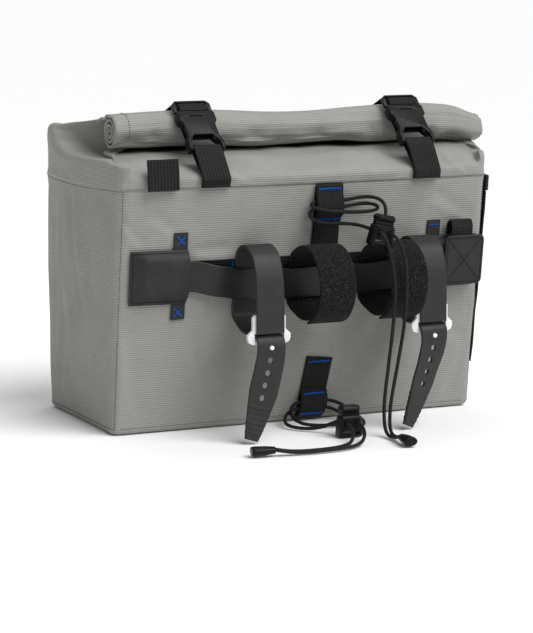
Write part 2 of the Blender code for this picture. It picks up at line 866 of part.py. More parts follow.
FLAP_WIDTH = 0.0390
FLAP_HEIGHT = 0.0440
FLAP_THICK = 0.0024
FLAP_RADIUS = 0.0050
FLAP_SHIFT = 0.0070
FLAP_X = POCKET_CENTRE + FLAP_SHIFT
FLAP_RISE = 0.0235
FLAP_TOP = BELT_HEIGHT + FLAP_RISE
FLAP_STANDOFF = 0.0056
FLAP_WEBBING_WIDTH = 0.0205
FLAP_WEBBING_RISE = 0.0125


def rounded_rectangle(width, height, radius, steps=3):
    points = []
    for cx, cy, start in ((1, -1, -90), (1, 1, 0), (-1, 1, 90), (-1, -1, 180)):
        for step in range(steps + 1):
            angle = math.radians(start + 90 * step / steps)
            points.append((cx * (width / 2 - radius) + radius * math.cos(angle),
                           cy * (height / 2 - radius) + radius * math.sin(angle)))
    return points


def stand_up(obj, place, tilt=0.0, turn=0.0):
    """Turns an outline drawn in XY to stand facing the handlebar side."""
    matrix = (Matrix.Translation(place) @ Matrix.Rotation(turn, 4, "Z")
              @ Matrix.Rotation(math.radians(90) + tilt, 4, "X"))
    obj.matrix_world = matrix
    return obj


def flap_out():
    return batten_out(0.0) + BATTEN_THICK / 2 + SEAT + PATCH_THICK + FLAP_STANDOFF


def make_flap():
    """Stitched flap that hangs over the right pocket from a folded webbing tongue."""
    flap = plate("right_flap", rounded_rectangle(FLAP_WIDTH, FLAP_HEIGHT, FLAP_RADIUS), FLAP_THICK,
                 "patch")
    middle_z = FLAP_TOP - FLAP_HEIGHT / 2
    lean = math.atan2(PANEL_LEAN, SEAM_HEIGHT)
    edge_y = seat_y(FLAP_X, middle_z, FLAP_WIDTH / 2, SURFACES[:1])
    place = Vector((FLAP_X, edge_y - flap_out() - FLAP_THICK / 2, middle_z))
    stand_up(flap, place, lean, math.radians(2))
    back = flap_out() - SEAT - WEBBING_THICK / 2
    seat = SEAT + WEBBING_THICK / 2
    pocket_top = BELT_HEIGHT + POCKET_HEIGHT / 2
    top = FLAP_TOP + FLAP_WEBBING_RISE
    middle = (back + seat) / 2
    base_y = edge_y

    def place_at(z, out):
        return Vector((FLAP_X - 0.002, base_y - out - PANEL_LEAN * (z - middle_z) / SEAM_HEIGHT, z))

    seat = max(seat, SEAT + WEBBING_THICK)
    route = [place_at(pocket_top + 0.0012, seat), place_at(top - 0.004, seat),
             place_at(top - 0.0006, lerp(seat, middle, 0.6)), place_at(top, middle),
             place_at(top - 0.0008, lerp(back, middle, 0.5)), place_at(top - 0.005, back),
             place_at(pocket_top + 0.0004, back)]
    tongue = ribbon("right_flap_webbing", smooth_path(route, 14), (1, 0, 0), FLAP_WEBBING_WIDTH,
                    WEBBING_THICK, "webbing")
    return flap, tongue


UPPER_LOOP = (
    # height above the belt's top (share of the gap to the seam), distance out in webbing thicknesses
    (0.03, 0.50),
    (0.40, 0.50),
    (0.75, 0.50),
    (0.97, 0.50),
    (1.00, 1.10),
    (0.97, 1.75),
    (0.90, 2.10),
    (0.80, 3.60),
    (0.70, 5.00),
    (0.61, 5.30),
    (0.56, 4.20),
    (0.53, 2.60),
    (0.49, 1.80),
    (0.43, 1.75),
)
LOWER_LOOP = (
    # height (share of the lower webbing's top), distance out in webbing thicknesses
    (1.00, 0.50),
    (0.60, 0.50),
    (0.30, 0.50),
    (0.08, 0.50),
    (0.04, 1.20),
    (0.08, 2.30),
    (0.13, 3.90),
    (0.20, 4.90),
    (0.30, 4.95),
    (0.37, 4.20),
    (0.43, 2.30),
    (0.50, 1.75),
)
LOWER_WEBBING_TOP = 0.0560
LOWER_WEBBING_LEAN = 0.0070
LOWER_WEBBING_SHIFT = 0.0010


def make_centre_webbing():
    belt_top = BELT_HEIGHT + BELT_WIDTH / 2
    rise = SEAM_HEIGHT - GAP - belt_top
    upper = [on_panel(CENTRE_X, belt_top + share * rise, SEAT + out * WEBBING_THICK)
             for share, out in UPPER_LOOP]
    lower = []
    for share, out in LOWER_LOOP:
        x = CENTRE_X + LOWER_WEBBING_SHIFT + LOWER_WEBBING_LEAN * (share - 0.5)
        z = share * LOWER_WEBBING_TOP
        seat = on_panel(x, max(z, BASE_ROUNDING * 1.6), SEAT + out * WEBBING_THICK)
        lower.append(Vector((x, seat.y, z)))
    return (ribbon("upper_centre_webbing", smooth_path(upper, 30), (1, 0, 0), WEBBING_WIDTH,
                   WEBBING_THICK, "webbing"),
            ribbon("lower_centre_webbing", smooth_path(lower, 26), (1, 0, 0), WEBBING_WIDTH,
                   WEBBING_THICK, "webbing"))


SEAM_TAB_X = -POCKET_CENTRE
SEAM_TAB_WIDTH = 0.0275
SEAM_TAB_HEIGHT = 0.0255
SIDE_STRIP_Y = -0.0790
SIDE_STRIP_WIDTH = 0.0200
SIDE_STRIP_LOW = 0.0400


def make_seam_tab():
    """Square folded webbing tab that stands up from the seam at the left."""
    thick = WEBBING_THICK * 2.1
    half = SEAM_TAB_WIDTH / 2
    foot_y = min(seat_y(SEAM_TAB_X, z, half, SURFACES[:2])
                 for z in (SEAM_HEIGHT + rise * 0.001 for rise in range(-1, 16)))
    foot = Vector((SEAM_TAB_X, foot_y - SEAT - thick / 2, SEAM_HEIGHT - 0.0005))
    head = foot + Vector((0.0, 0.002, SEAM_TAB_HEIGHT))
    return ribbon("seam_tab", [foot, foot.lerp(head, 0.5) + Vector((0, -0.0008, 0)), head], (1, 0, 0),
                  SEAM_TAB_WIDTH, thick, "webbing")


def side_seat(z):
    """The outermost surface of the right side panel, behind the side strip."""
    found = 0.0
    for step in range(-4, 5):
        start = Vector((1.0, SIDE_STRIP_Y + SIDE_STRIP_WIDTH * step / 8, min(z, SEAM_HEIGHT - 2 * GAP)))
        hit = SURFACES[0].ray_cast(start, Vector((-1, 0, 0)))
        if hit[0]:
            found = max(found, hit[0].x)
    return found


def make_side_strip():
    """Vertical webbing on the right side panel, ending in a small folded loop at the seam."""
    count = 10
    top = SEAM_HEIGHT - 0.014
    path = []
    for i in range(count + 1):
        z = lerp(SIDE_STRIP_LOW, top, i / count)
        path.append(Vector((side_seat(z) + SEAT + WEBBING_THICK / 2, SIDE_STRIP_Y, z)))
    strip = ribbon("side_strip", path, (0, 1, 0), SIDE_STRIP_WIDTH, WEBBING_THICK, "webbing")
    low, high = top + 2 * GAP, SEAM_HEIGHT - GAP
    seat = SEAT + WEBBING_THICK * 1.1
    ends = [Vector((side_seat(z) + seat, SIDE_STRIP_Y, z)) for z in (low, high)]
    loop = ribbon("side_loop", [ends[0], ends[0].lerp(ends[1], 0.5), ends[1]], (0, 1, 0),
                  SIDE_STRIP_WIDTH, WEBBING_THICK * 2.0, "webbing")
    return strip, loop


# Handlebar loops

def rubber_strap(name, x, tail_drift, tail_twist):
    """Rubber strap: lip, over the bar, down behind the batten, through the buckle, tail down."""
    def back_at(z):
        return on_panel(x, z, SEAT + WEBBING_THICK + SEAT + RUBBER_THICK / 2).y

    back = back_at(BAR_HEIGHT)
    front = back - RUBBER_DEPTH + RUBBER_THICK
    middle = (front + back) / 2
    top = BAR_HEIGHT + RUBBER_RISE
    low = BAR_HEIGHT - RUBBER_RISE
    route = [
        (x, front - 0.0005, low - 0.0005),
        (x, front - 0.0004, low + 0.011),
        (x, front + 0.0002, low + 0.032),
        (x, front + 0.0030, low + 0.047),
        (x, front + 0.0100, top - 0.0065),
        (x, middle + 0.0015, top),
        (x, back - 0.0090, top - 0.0035),
        (x, back_at(top - 0.0110), top - 0.0110),
        (x, back_at(BAR_HEIGHT + 0.010), BAR_HEIGHT + 0.010),
        (x, back_at(BAR_HEIGHT - 0.004), BAR_HEIGHT - 0.004),
        (x, back_at(low + 0.0150), low + 0.0150),
        (x, back_at(low + 0.0060) - 0.0015, low + 0.0060),
        (x, back - 0.0130, low - 0.0035),
        (x, middle - 0.0020, low - 0.0052),
        (x, front + 0.0080, low - 0.0052),
        (x, front + 0.0025, low - 0.0058),
        (x, front - 0.0012, low - 0.0090),
        (x, front - 0.0022, low - 0.0150),
        (x + tail_drift * 0.06, front - 0.0024, low - 0.0260),
        (x + tail_drift * 0.42, front - 0.0040, low - 0.0520),
        (x + tail_drift * 0.78, front - 0.0050, low - 0.0760),
        (x + tail_drift * 1.00, front - 0.0055, 0.0030),
    ]
    count = 52
    path = smooth_path(route, count)
    lengths = [0.0]
    for a, b in zip(path, path[1:]):
        lengths.append(lengths[-1] + (b - a).length)
    across, widths = [], []
    tail = 0.0950
    taper = 0.0400
    for done in lengths:
        left = lengths[-1] - done
        turn = tail_twist * min(max(1 - (left - tail * 0.55) / (tail * 0.35), 0.0), 1.0)
        across.append(Vector((math.cos(turn), math.sin(turn), 0.0)))
        narrow = min(left / taper, 1.0)
        widths.append(lerp(RUBBER_WIDTH * 0.46, RUBBER_WIDTH, narrow ** 0.85))
    strap = ribbon(name, path, across, widths, RUBBER_THICK, "rubber")
    catch_z = low - FRAME_DROP - HOLE_BELOW_FRAME
    below = next(i for i in range(count // 2, count) if path[i].z < catch_z)
    drop = (path[below - 1].z - catch_z) / (path[below - 1].z - path[below].z)
    second = lerp(lengths[below - 1], lengths[below], drop)
    for hole in range(HOLE_COUNT):
        at = second + (hole - 1) * HOLE_PITCH - (0.0 if hole else FIRST_HOLE_GAP)
        index = next(i for i, done in enumerate(lengths) if done >= at) - 1
        share = (at - lengths[index]) / (lengths[index + 1] - lengths[index])
        spot = path[index].lerp(path[index + 1], share)
        normal = across[index].cross(path[index + 1] - path[index]).normalized()
        reach = normal * RUBBER_THICK * 2
        cut(strap, rod(f"{name}_hole_{hole}", HOLE_DIAMETER, spot - reach, spot + reach, 8))
        if hole == 1:
            catch = spot
    return front, low, catch


FRAME_WIDTH = 0.0385
FRAME_HEIGHT = 0.0245
FRAME_DEPTH = 0.0036
FRAME_RADIUS = 0.0045
FRAME_BAR = 0.0030


def make_strap_buckle(name, x, front, low, catch):
    """White frame behind the strap's lip, with a tongue that catches the strap's second hole."""
    half, top = FRAME_WIDTH / 2, FRAME_HEIGHT / 2
    neck = RUBBER_WIDTH / 2 + FRAME_BAR * 0.75
    outline = mirrored([(neck - 0.002, top), (neck, top - 0.002), (neck, 0.0), (half, -top * 0.35),
                        (half, FRAME_RADIUS - top), (half - FRAME_RADIUS * 0.3, FRAME_RADIUS * 0.3 - top),
                        (half - FRAME_RADIUS, -top)])
    frame = plate(name, outline, FRAME_DEPTH, "white")
    frame_y = front + RUBBER_THICK / 2 + SEAT + FRAME_DEPTH / 2 - 0.0004
    low_z = low - FRAME_DROP
    centre = Vector((x, frame_y, low_z + FRAME_HEIGHT / 2))
    stand_up(frame, centre)
    mesh = frame.data
    mesh.transform(frame.matrix_world)
    frame.matrix_world = Matrix.Identity(4)
    slot = RUBBER_THICK + 0.0034
    slot_low = low_z + FRAME_BAR
    cut(frame, box(name + "_slot", (RUBBER_WIDTH + 0.0016, FRAME_DEPTH * 3, slot),
                   (x, frame_y, slot_low + slot / 2)))
    tongue_top = low_z + FRAME_BAR * 0.6
    tongue_y = frame_y + 0.0002
    height = tongue_top - catch.z + 0.003
    fuse(frame, box(name + "_tongue", (0.0050, 0.0026, height),
                    (catch.x, tongue_y, tongue_top - height / 2)))
    fuse(frame, rod(name + "_knob", HOLE_DIAMETER - 0.0012, (catch.x, tongue_y, catch.z),
                    (catch.x, catch.y - RUBBER_THICK / 2 - 0.0010, catch.z), 10))
    return frame


def make_hook_loop(name, x):
    """Hook-and-loop strap wound round the bar's place, behind the batten, its free end lapped over."""
    def back_at(z):
        return on_panel(x, z, SEAT + WEBBING_THICK + SEAT + HOOK_THICK / 2, HOOK_WIDTH / 2).y

    back = back_at(BAR_HEIGHT)
    centre_y = back - HOOK_RADIUS + HOOK_THICK * 0.7
    inner = HOOK_RADIUS - HOOK_THICK - 0.0006
    path = []
    steps = 34
    start, end = -78.0, 338.0
    for i in range(steps + 1):
        degrees = lerp(start, end, i / steps)
        angle = math.radians(degrees)
        radius = lerp(HOOK_RADIUS, inner, min(max((degrees - 215) / 55, 0.0), 1.0))
        radius -= HOOK_THICK / 2
        z = BAR_HEIGHT + radius * math.sin(angle)
        y = min(centre_y - radius * math.cos(angle), back_at(z))
        if 90 < degrees < 270:
            away = (abs(z - BAR_HEIGHT) - BATTEN_WIDTH * 0.62) / (BATTEN_WIDTH * 0.40)
            y = lerp(back_at(z), y, min(max(away, 0.0), 1.0))
        path.append(Vector((x, y, z)))
    return ribbon(name, path, (1, 0, 0), HOOK_WIDTH, HOOK_THICK, "pile")


# Side-release buckles, drawn with their length along +Y and their face along +Z

def buckle_frame(x):
    """Matrix of a closure's buckle: it leans against the roll, tangent to it."""
    out = Vector((0.0, -1.0, 1.0)).normalized()
    up = Vector((0.0, 1.0, 1.0)).normalized()
    centre = Vector((x, ROLL_Y, SEAM_HEIGHT + ROLL_RISE))
    foot = centre + out * (ROLL_RADIUS + SEAT + BUCKLE_THICK / 2) - up * (BUCKLE_LENGTH + 0.0002)
    turn = Matrix((Vector((1, 0, 0)), up, out)).transposed().to_4x4()
    return Matrix.Translation(foot) @ turn


def make_female(name, matrix):
    half, waist = BUCKLE_WIDTH / 2, BUCKLE_WAIST / 2
    length = BUCKLE_LENGTH
    outline = mirrored([(half - 0.002, length), (half, length - 0.002), (half, length * 0.74),
                        (waist, length * 0.68), (waist, length * 0.36), (half - 0.0006, length * 0.22),
                        (half - 0.0006, 0.0012), (half - 0.0026, 0.0)])
    body = plate(name, outline, BUCKLE_THICK, "plastic")
    round_edges(body, 0.0009)
    window_low = BUCKLE_BAR
    arch = mirrored([(half - 0.0040, window_low), (half - 0.0040, length * 0.20), (half - 0.0090, length * 0.38)])
    cut(body, plate(name + "_arch", arch, BUCKLE_THICK * 3))
    thin = BUCKLE_THICK - 0.0050
    for side in (-1, 1):
        cut(body, box(name + "_bar_cut", (BUCKLE_WIDTH - 0.0080, BUCKLE_BAR * 2, 0.0040),
                      (0.0, BUCKLE_BAR * 0.4, side * (thin / 2 + 0.0020))))
    cut(body, box(name + "_pocket", (0.0252, length * 0.72, 0.0050), (0.0, length * 0.66, 0.0)))
    cut(body, box(name + "_sides", (BUCKLE_WIDTH * 1.5, length * 0.30, 0.0050), (0.0, length * 0.50, 0.0)))
    cut(body, box(name + "_notch", (0.0110, 0.0016, 0.0030), (0.0, length * 0.86, BUCKLE_THICK / 2)))
    return place(body, matrix)


def make_male(name, matrix):
    half = BUCKLE_WIDTH / 2
    low = BUCKLE_LENGTH + GAP
    high = low + LADDER_LENGTH
    frame = plate(name, mirrored([(half - 0.0035, high), (half, high - 0.0035), (half, low)]),
                  LADDER_THICK, "plastic")
    opening = BUCKLE_WIDTH - 0.0066
    bar = LADDER_BAR
    clear = (LADDER_LENGTH - 3 * bar) / 2
    for index in range(2):
        middle = low + bar + clear / 2 + index * (bar + clear)
        cut(frame, box(f"{name}_window_{index}", (opening, clear, 0.0200), (0.0, middle, 0.0)))
    arm_low = BUCKLE_LENGTH * 0.38
    prong = [(0.0122, low + bar * 0.5), (0.0122, BUCKLE_LENGTH * 0.66), (0.0138, BUCKLE_LENGTH * 0.615),
             (0.0138, BUCKLE_LENGTH * 0.50), (0.0105, arm_low), (0.0080, BUCKLE_LENGTH * 0.46),
             (0.0080, low + bar * 0.5)]
    for side in (-1, 1):
        fuse(frame, plate(name + "_prong", [(side * px, py) for px, py in prong], 0.0040))
    return place(frame, matrix)


def make_lower_tab(name, x, matrix):
    """Webbing from the seam up, round the buckle's bar and back down."""
    lay = (BUCKLE_THICK - 0.0050) / 2 + SEAT + WEBBING_THICK / 2
    crest = BUCKLE_BAR + SEAT + WEBBING_THICK / 2 + 0.0007
    def up_collar(rise, out):
        y = seat_y(x, SEAM_HEIGHT + max(rise, 2 * GAP), WEBBING_WIDTH / 2, SURFACES[:2])
        return Vector((x, y - out - LEAVE_COLLAR * rise, SEAM_HEIGHT + rise))

    inner = SEAT + WEBBING_THICK / 2
    outer = inner + WEBBING_THICK + GAP
    rises = (0.0008, 0.0030, 0.0060, 0.0095)
    front_up = [up_collar(rise, outer) for rise in rises]
    behind_up = [up_collar(rise, inner) for rise in reversed(rises)]
    front = [matrix @ Vector((0.0, y, z)) for y, z in
             ((-0.009, lay * 0.80), (-0.003, lay), (0.0010, lay), (crest - 0.0011, lay * 0.90), (crest, 0.0))]
    behind = [matrix @ Vector((0.0, y, z)) for y, z in
              ((crest - 0.0011, -lay * 0.90), (0.0010, -lay), (-0.003, -lay), (-0.009, -lay * 0.80))]
    path = (smooth_path(front_up + front[:1], 9) + front[1:] + behind[:-1]
            + smooth_path(behind[-1:] + behind_up, 9))
    return ribbon(name, path, (1, 0, 0), WEBBING_WIDTH, WEBBING_THICK, "webbing")


def outer_distance(trees, x, origin, direction):
    """How far the bag's cloth reaches from a point inside it, near x."""
    found = 0.0
    for offset in (-0.5, -0.25, 0.0, 0.25, 0.5):
        start = Vector((x + offset * WEBBING_WIDTH, origin.y, origin.z)) + direction * 0.2
        for tree in trees:
            hit = tree.ray_cast(start, -direction)
            if hit[0]:
                found = max(found, (hit[0] - start + direction * 0.2).dot(direction))
    return found


def make_closure_strap(name, x, matrix):
    """Webbing from the buckle's ladder bars, back over the roof and down the far panel."""
    low = BUCKLE_LENGTH + GAP
    bar = LADDER_BAR
    clear = (LADDER_LENGTH - 3 * bar) / 2
    high = low + LADDER_LENGTH
    mid = low + bar + clear
    over = LADDER_THICK / 2 + SEAT + WEBBING_THICK / 2
    start = [matrix @ Vector((0.0, y, z)) for y, z in
             ((mid - clear * 0.6, over), (mid + bar * 0.4, over), (mid + bar + clear * 0.16, over * 0.92),
              (mid + bar + clear * 0.5, 0.0), (high - bar - clear * 0.16, -over * 0.92),
              (high - bar * 0.4, -over), (high + 0.0012, -over))]
    origin = Vector((x, ROLL_Y / 2 + 0.02, SEAM_HEIGHT + 0.004))
    out = SEAT + WEBBING_THICK / 2 + 0.0004
    over_roof = []
    for degrees in range(114, -19, -4):
        angle = math.radians(degrees)
        direction = Vector((0.0, math.cos(angle), math.sin(angle)))
        reach = outer_distance(SURFACES, x, origin, direction)
        over_roof.append(origin + direction * (reach + out / max(0.80, abs(direction.y), abs(direction.z))))
    path = smooth_path(start, 13) + smooth_path(start[-1:] + over_roof, 36)[1:]
    return ribbon(name, path, (1, 0, 0), WEBBING_WIDTH, WEBBING_THICK, "webbing")


# Cord locks and cord ends, drawn with the button along +Z, the cord holes along Y

def make_lock(name, matrix):
    """Body with two cord holes, a well for the button's stem and a webbing slot, and the sprung button."""
    hole = LOCK_HOLE / 2
    well_low = -hole - 0.0017 - LOCK_TRAVEL - 0.0005
    slot_high = well_low - 0.0012
    slot_low = slot_high - 0.0026
    foot = slot_low - 0.0024
    top = 0.0060
    height = top - foot
    body = box(name + "_body", (LOCK_WIDTH, LOCK_DEPTH, height), (0.0, 0.0, (top + foot) / 2), "plastic")
    for vert in body.data.vertices:
        if vert.co.z > 0:
            vert.co.x *= 0.86
            vert.co.y *= 0.90
    round_edges(body, 0.0016)
    stem_width = LOCK_HOLE_SPACING + LOCK_HOLE + 0.0030
    stem_depth = LOCK_DEPTH * 0.48
    cut(body, box(name + "_well", (stem_width + 0.0008, stem_depth + 0.0008, top - well_low + 0.004),
                  (0.0, 0.0, (top + well_low + 0.004) / 2)))
    cut(body, box(name + "_slot", (LOCK_WIDTH - 0.0070, LOCK_DEPTH * 2, 0.0026),
                  (0.0, 0.0, (slot_high + slot_low) / 2)))
    for side in (-1, 1):
        x = side * LOCK_HOLE_SPACING / 2
        cut(body, rod(f"{name}_hole_{side}", LOCK_HOLE, (x, -LOCK_DEPTH, 0.0), (x, LOCK_DEPTH, 0.0), 8))
    cap_low = top + LOCK_TRAVEL + 0.0004
    cap_high = cap_low + 0.0058
    stem_low = -hole - 0.0017
    button = box(name + "_button", (LOCK_WIDTH * 0.82, LOCK_DEPTH * 0.86, cap_high - cap_low),
                 (0.0, 0.0, (cap_low + cap_high) / 2), "plastic")
    round_edges(button, 0.0020)
    fuse(button, box(name + "_stem", (stem_width, stem_depth, cap_low + 0.002 - stem_low),
                     (0.0, 0.0, (cap_low + 0.002 + stem_low) / 2)))
    for side in (-1, 1):
        tall = LOCK_HOLE + LOCK_TRAVEL
        cut(button, box(f"{name}_way_{side}", (LOCK_HOLE, LOCK_DEPTH, tall),
                        (side * LOCK_HOLE_SPACING / 2, 0.0, -hole + tall / 2)))
    return place(body, matrix), place(button, matrix)


def make_cord_end(name, mouth, direction):
    """Bell-shaped cord end, its narrow mouth where the two strands go in."""
    sections = (
        # length share, width share, depth share
        (0.00, 0.60, 0.44),
        (0.10, 0.66, 0.50),
        (0.45, 0.84, 0.62),
        (0.88, 1.00, 0.66),
        (1.00, 0.92, 0.58),
    )
    along = Vector(direction).normalized()
    side = Vector((0, 0, 1)).cross(along).normalized()
    up = along.cross(side).normalized()
    rings = []
    for share, wide, deep in sections:
        centre = Vector(mouth) + along * END_LENGTH * share
        rings.append([centre + side * math.cos(a) * END_WIDTH / 2 * wide
                      + up * math.sin(a) * END_WIDTH / 2 * deep
                      for a in (2 * math.pi * i / 12 for i in range(12))])
    return face_outwards(mesh_from_rings(name, rings, "plastic", True, True, True))


def lock_matrix(centre, tilt):
    return Matrix.Translation(centre) @ Matrix.Rotation(tilt, 4, "Y")


def cord_end_at(name, route):
    """Places a cord end on the two ends of a cord's route."""
    first, second = Vector(route[0]), Vector(route[-1])
    along = (first - Vector(route[1]) + second - Vector(route[-2])).normalized()
    along.z = -0.02
    along.normalize()
    return make_cord_end(name, (first + second) / 2 + along * 0.0009, along)


def main():
    body = make_body()
    SURFACES.append(surface_of(body))
    SURFACES.append(surface_of(make_collar()))
    SURFACES.append(surface_of(make_roll()))
    make_belt()
    make_batten()
    make_pocket("left_pocket", -1, (1, -1))
    make_pocket("right_pocket", 1, (1,))
    make_flap()
    make_centre_webbing()
    make_seam_tab()
    make_side_strip()
    for index, (x, drift, twist) in enumerate(zip(RUBBER_X, TAIL_DRIFT, TAIL_TWIST), 1):
        front, low, catch = rubber_strap(f"rubber_strap_{index}", x, drift, twist)
        make_strap_buckle(f"strap_buckle_{index}", x, front, low, catch)
    for index, x in enumerate(HOOK_X, 1):
        make_hook_loop(f"hook_loop_{index}", x)
    for index, x in enumerate(CLOSURE_X, 1):
        matrix = buckle_frame(x)
        make_female(f"buckle_female_{index}", matrix)
        make_male(f"buckle_male_{index}", matrix)
        make_lower_tab(f"buckle_tab_{index}", x, matrix)
        make_closure_strap(f"closure_strap_{index}", x, matrix)
    make_lock("upper_lock", lock_matrix(UPPER_LOCK_AT, UPPER_LOCK_TILT))
    make_lock("lower_lock", lock_matrix(LOWER_LOCK_AT, 0.0))
    tube("upper_cord", UPPER_CORD_ROUTE, CORD_DIAMETER, UPPER_CORD_POINTS, "cord")
    tube("lower_cord", LOWER_CORD_ROUTE, CORD_DIAMETER, LOWER_CORD_POINTS, "cord")
    cord_end_at("upper_cord_end", UPPER_CORD_ROUTE)
    cord_end_at("lower_cord_end", LOWER_CORD_ROUTE)


SURFACES = []
clear_scene()
PARTS = new_collection("handlebar_bag")
CUTTERS = new_collection("cutters")
main()
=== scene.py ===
"""Roll-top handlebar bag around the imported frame, in metres with +Z up.

The cloth, webbing, rubber and cords are built here at full detail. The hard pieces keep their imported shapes,
with their edges broken.
"""

import math

import bmesh
import bpy
from mathutils import Matrix, Vector, noise
from mathutils.bvhtree import BVHTree


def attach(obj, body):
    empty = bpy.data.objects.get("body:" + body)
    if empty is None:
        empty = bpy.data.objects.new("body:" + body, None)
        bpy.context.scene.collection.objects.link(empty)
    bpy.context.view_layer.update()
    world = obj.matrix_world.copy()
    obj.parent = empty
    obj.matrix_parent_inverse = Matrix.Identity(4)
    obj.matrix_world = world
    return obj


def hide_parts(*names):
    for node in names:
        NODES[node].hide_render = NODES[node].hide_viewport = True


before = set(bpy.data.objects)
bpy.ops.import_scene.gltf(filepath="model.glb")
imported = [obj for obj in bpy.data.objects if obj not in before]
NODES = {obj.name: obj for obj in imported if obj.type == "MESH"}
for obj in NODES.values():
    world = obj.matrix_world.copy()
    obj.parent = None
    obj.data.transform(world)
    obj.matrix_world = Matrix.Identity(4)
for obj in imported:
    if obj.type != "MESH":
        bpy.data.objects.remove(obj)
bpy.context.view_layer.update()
BAG = "bag"


# Bag body
WIDTH = 0.340
BASE_DEPTH = 0.154
PANEL_LEAN = 0.026
SEAM_HEIGHT = 0.208
PANEL_BULGE = 0.010
SIDE_BULGE = 0.012
BACK_BULGE = 0.008
RIGHT_SIDE_BULGE = 0.7 * SIDE_BULGE
CORNER_RADIUS = 0.006
BASE_ROUNDING = 0.004
WALL = 0.0015
COLLAR_WALL = 0.8 * WALL
GAP = 0.0003
NEAR_BASE = -BASE_DEPTH / 2
FAR = BASE_DEPTH / 2

# Roll-top closure
ROLL_RADIUS = 0.0165
ROLL_Y = -0.052
ROLL_RISE = 0.044
ROLL_OVERHANG_LEFT = -0.009
ROLL_OVERHANG_RIGHT = 0.018
ROLL_BAND = 0.0018
ROLL_PITCH = 0.0042
RIDGE_RISE = 0.042
NECK_RISE = 0.0265
GUSSET_TUCK = 0.048
ROLL_Z = SEAM_HEIGHT + ROLL_RISE
ROLL_LEFT = -WIDTH / 2 - ROLL_OVERHANG_LEFT
ROLL_RIGHT = WIDTH / 2 + ROLL_OVERHANG_RIGHT
COLLAR_FOOT = SEAM_HEIGHT + GAP * 1.5
# Where the roof's cloth meets the roll in front, behind, and in the tuck between: y and z
NECK_FRONT = (ROLL_Y + 0.010, SEAM_HEIGHT + NECK_RISE)
NECK_BACK = (ROLL_Y + 0.0178, SEAM_HEIGHT + ROLL_RISE + 0.0105)
NECK_TUCK = (ROLL_Y + 0.0235, SEAM_HEIGHT + (NECK_RISE + ROLL_RISE) / 2 + 0.004)

# Webbing and straps
WEBBING_WIDTH = 0.025
WEBBING_THICK = 0.0016
SEAT = 0.0004
CLOSURE_X = (-0.0915, 0.1060)
BELT_HEIGHT = 0.1345
BELT_WIDTH = 0.026
BATTEN_WIDTH = 0.0265
BATTEN_THICK = 0.0025
CENTRE_X = 0.0120
BELT_TOP = BELT_HEIGHT + BELT_WIDTH / 2
ON_WEBBING = SEAT + WEBBING_THICK + SEAT

# Pocket patches
POCKET_WIDTH = 0.050
POCKET_HEIGHT = 0.0455
POCKET_MARGIN = 0.0100
POCKET_INSET = 0.0330
POCKET_CENTRE = WIDTH / 2 - POCKET_INSET
PATCH_THICK = 0.0012
TAB_WIDTH = 0.0125
TAB_LENGTH = 0.0140
POCKET_FINE_ROWS = 44
POCKET_FINE_COLUMNS = 48
# Share of the patch's width over which it rises from its sewn end
POCKET_SLOPE = 0.27
POCKET_CROWN = 0.0012
PATCH_STITCH_INSET = 0.0022

# Handlebar loops
BAR_HEIGHT = 0.1265
RUBBER_INSET = 0.0426
RUBBER_X = (-0.0585, POCKET_CENTRE - RUBBER_INSET)
RUBBER_WIDTH = 0.0250
RUBBER_THICK = 0.0026
RUBBER_DEPTH = 0.0485
RUBBER_RISE = 0.0335
HOLE_DIAMETER = 0.0050
HOLE_PITCH = 0.0106
HOLE_COUNT = 6
FIRST_HOLE_GAP = 0.0035
HOLE_BELOW_FRAME = 0.0025
FRAME_DROP = 0.0120
TAIL_DRIFT = (-0.0200, -0.0265)
TAIL_TWIST = (-0.10, 0.30)
RUBBER_POINTS = 52
TAIL_LENGTH = 0.0950
TAIL_TAPER = 0.0400
TAIL_TIP_SHARE = 0.46
GRIP_LENGTH = 0.0290
GRIP_PITCH = 0.0042
HOOK_SPACING = 0.0316
HOOK_X = (-0.0050, RUBBER_X[1] - HOOK_SPACING)
HOOK_WIDTH = 0.0330
HOOK_THICK = 0.0022
HOOK_RADIUS = 0.0330
# Where the hook loop's band starts and ends round the bar, and where its lap goes inside, in degrees
HOOK_TURN = (-78.0, 338.0)
HOOK_LAP = (215.0, 270.0)
HOOK_STEPS = 34

# Buckles
BUCKLE_LENGTH = 0.0420
BUCKLE_THICK = 0.0084
BUCKLE_BAR = 0.0034
BUCKLE_BODY_THICK = 0.0050
LADDER_LENGTH = 0.0126
LADDER_BAR = 0.0015
LADDER_THICK = 0.0028
LEAVE_COLLAR = 0.08

# Broken edges of the hard pieces: width and segments. The locks and cord ends have the buckles' edge
BUCKLE_EDGE = (0.0005, 3)
PRONG_EDGE = (0.0004, 2)
FRAME_EDGE = (0.00045, 3)
BUTTON_EDGE = (0.0007, 3)

# Cords
CORD_DIAMETER = 0.0030
# Passes that round the turns between a route's points
CORD_SMOOTHING = 10

# How fine the meshes are
PANEL_SPANS = 110
SIDE_SPANS = 60
CORNER_SPANS = 5
FINE_LEVELS = 96
COLLAR_BANDS = 44
ROLL_STEPS = 210
ROLL_LENGTHS = 150
CURVE_STEPS = 12
SHARP_ANGLE = math.radians(55)
HARD_SHARP_ANGLE = math.radians(30)

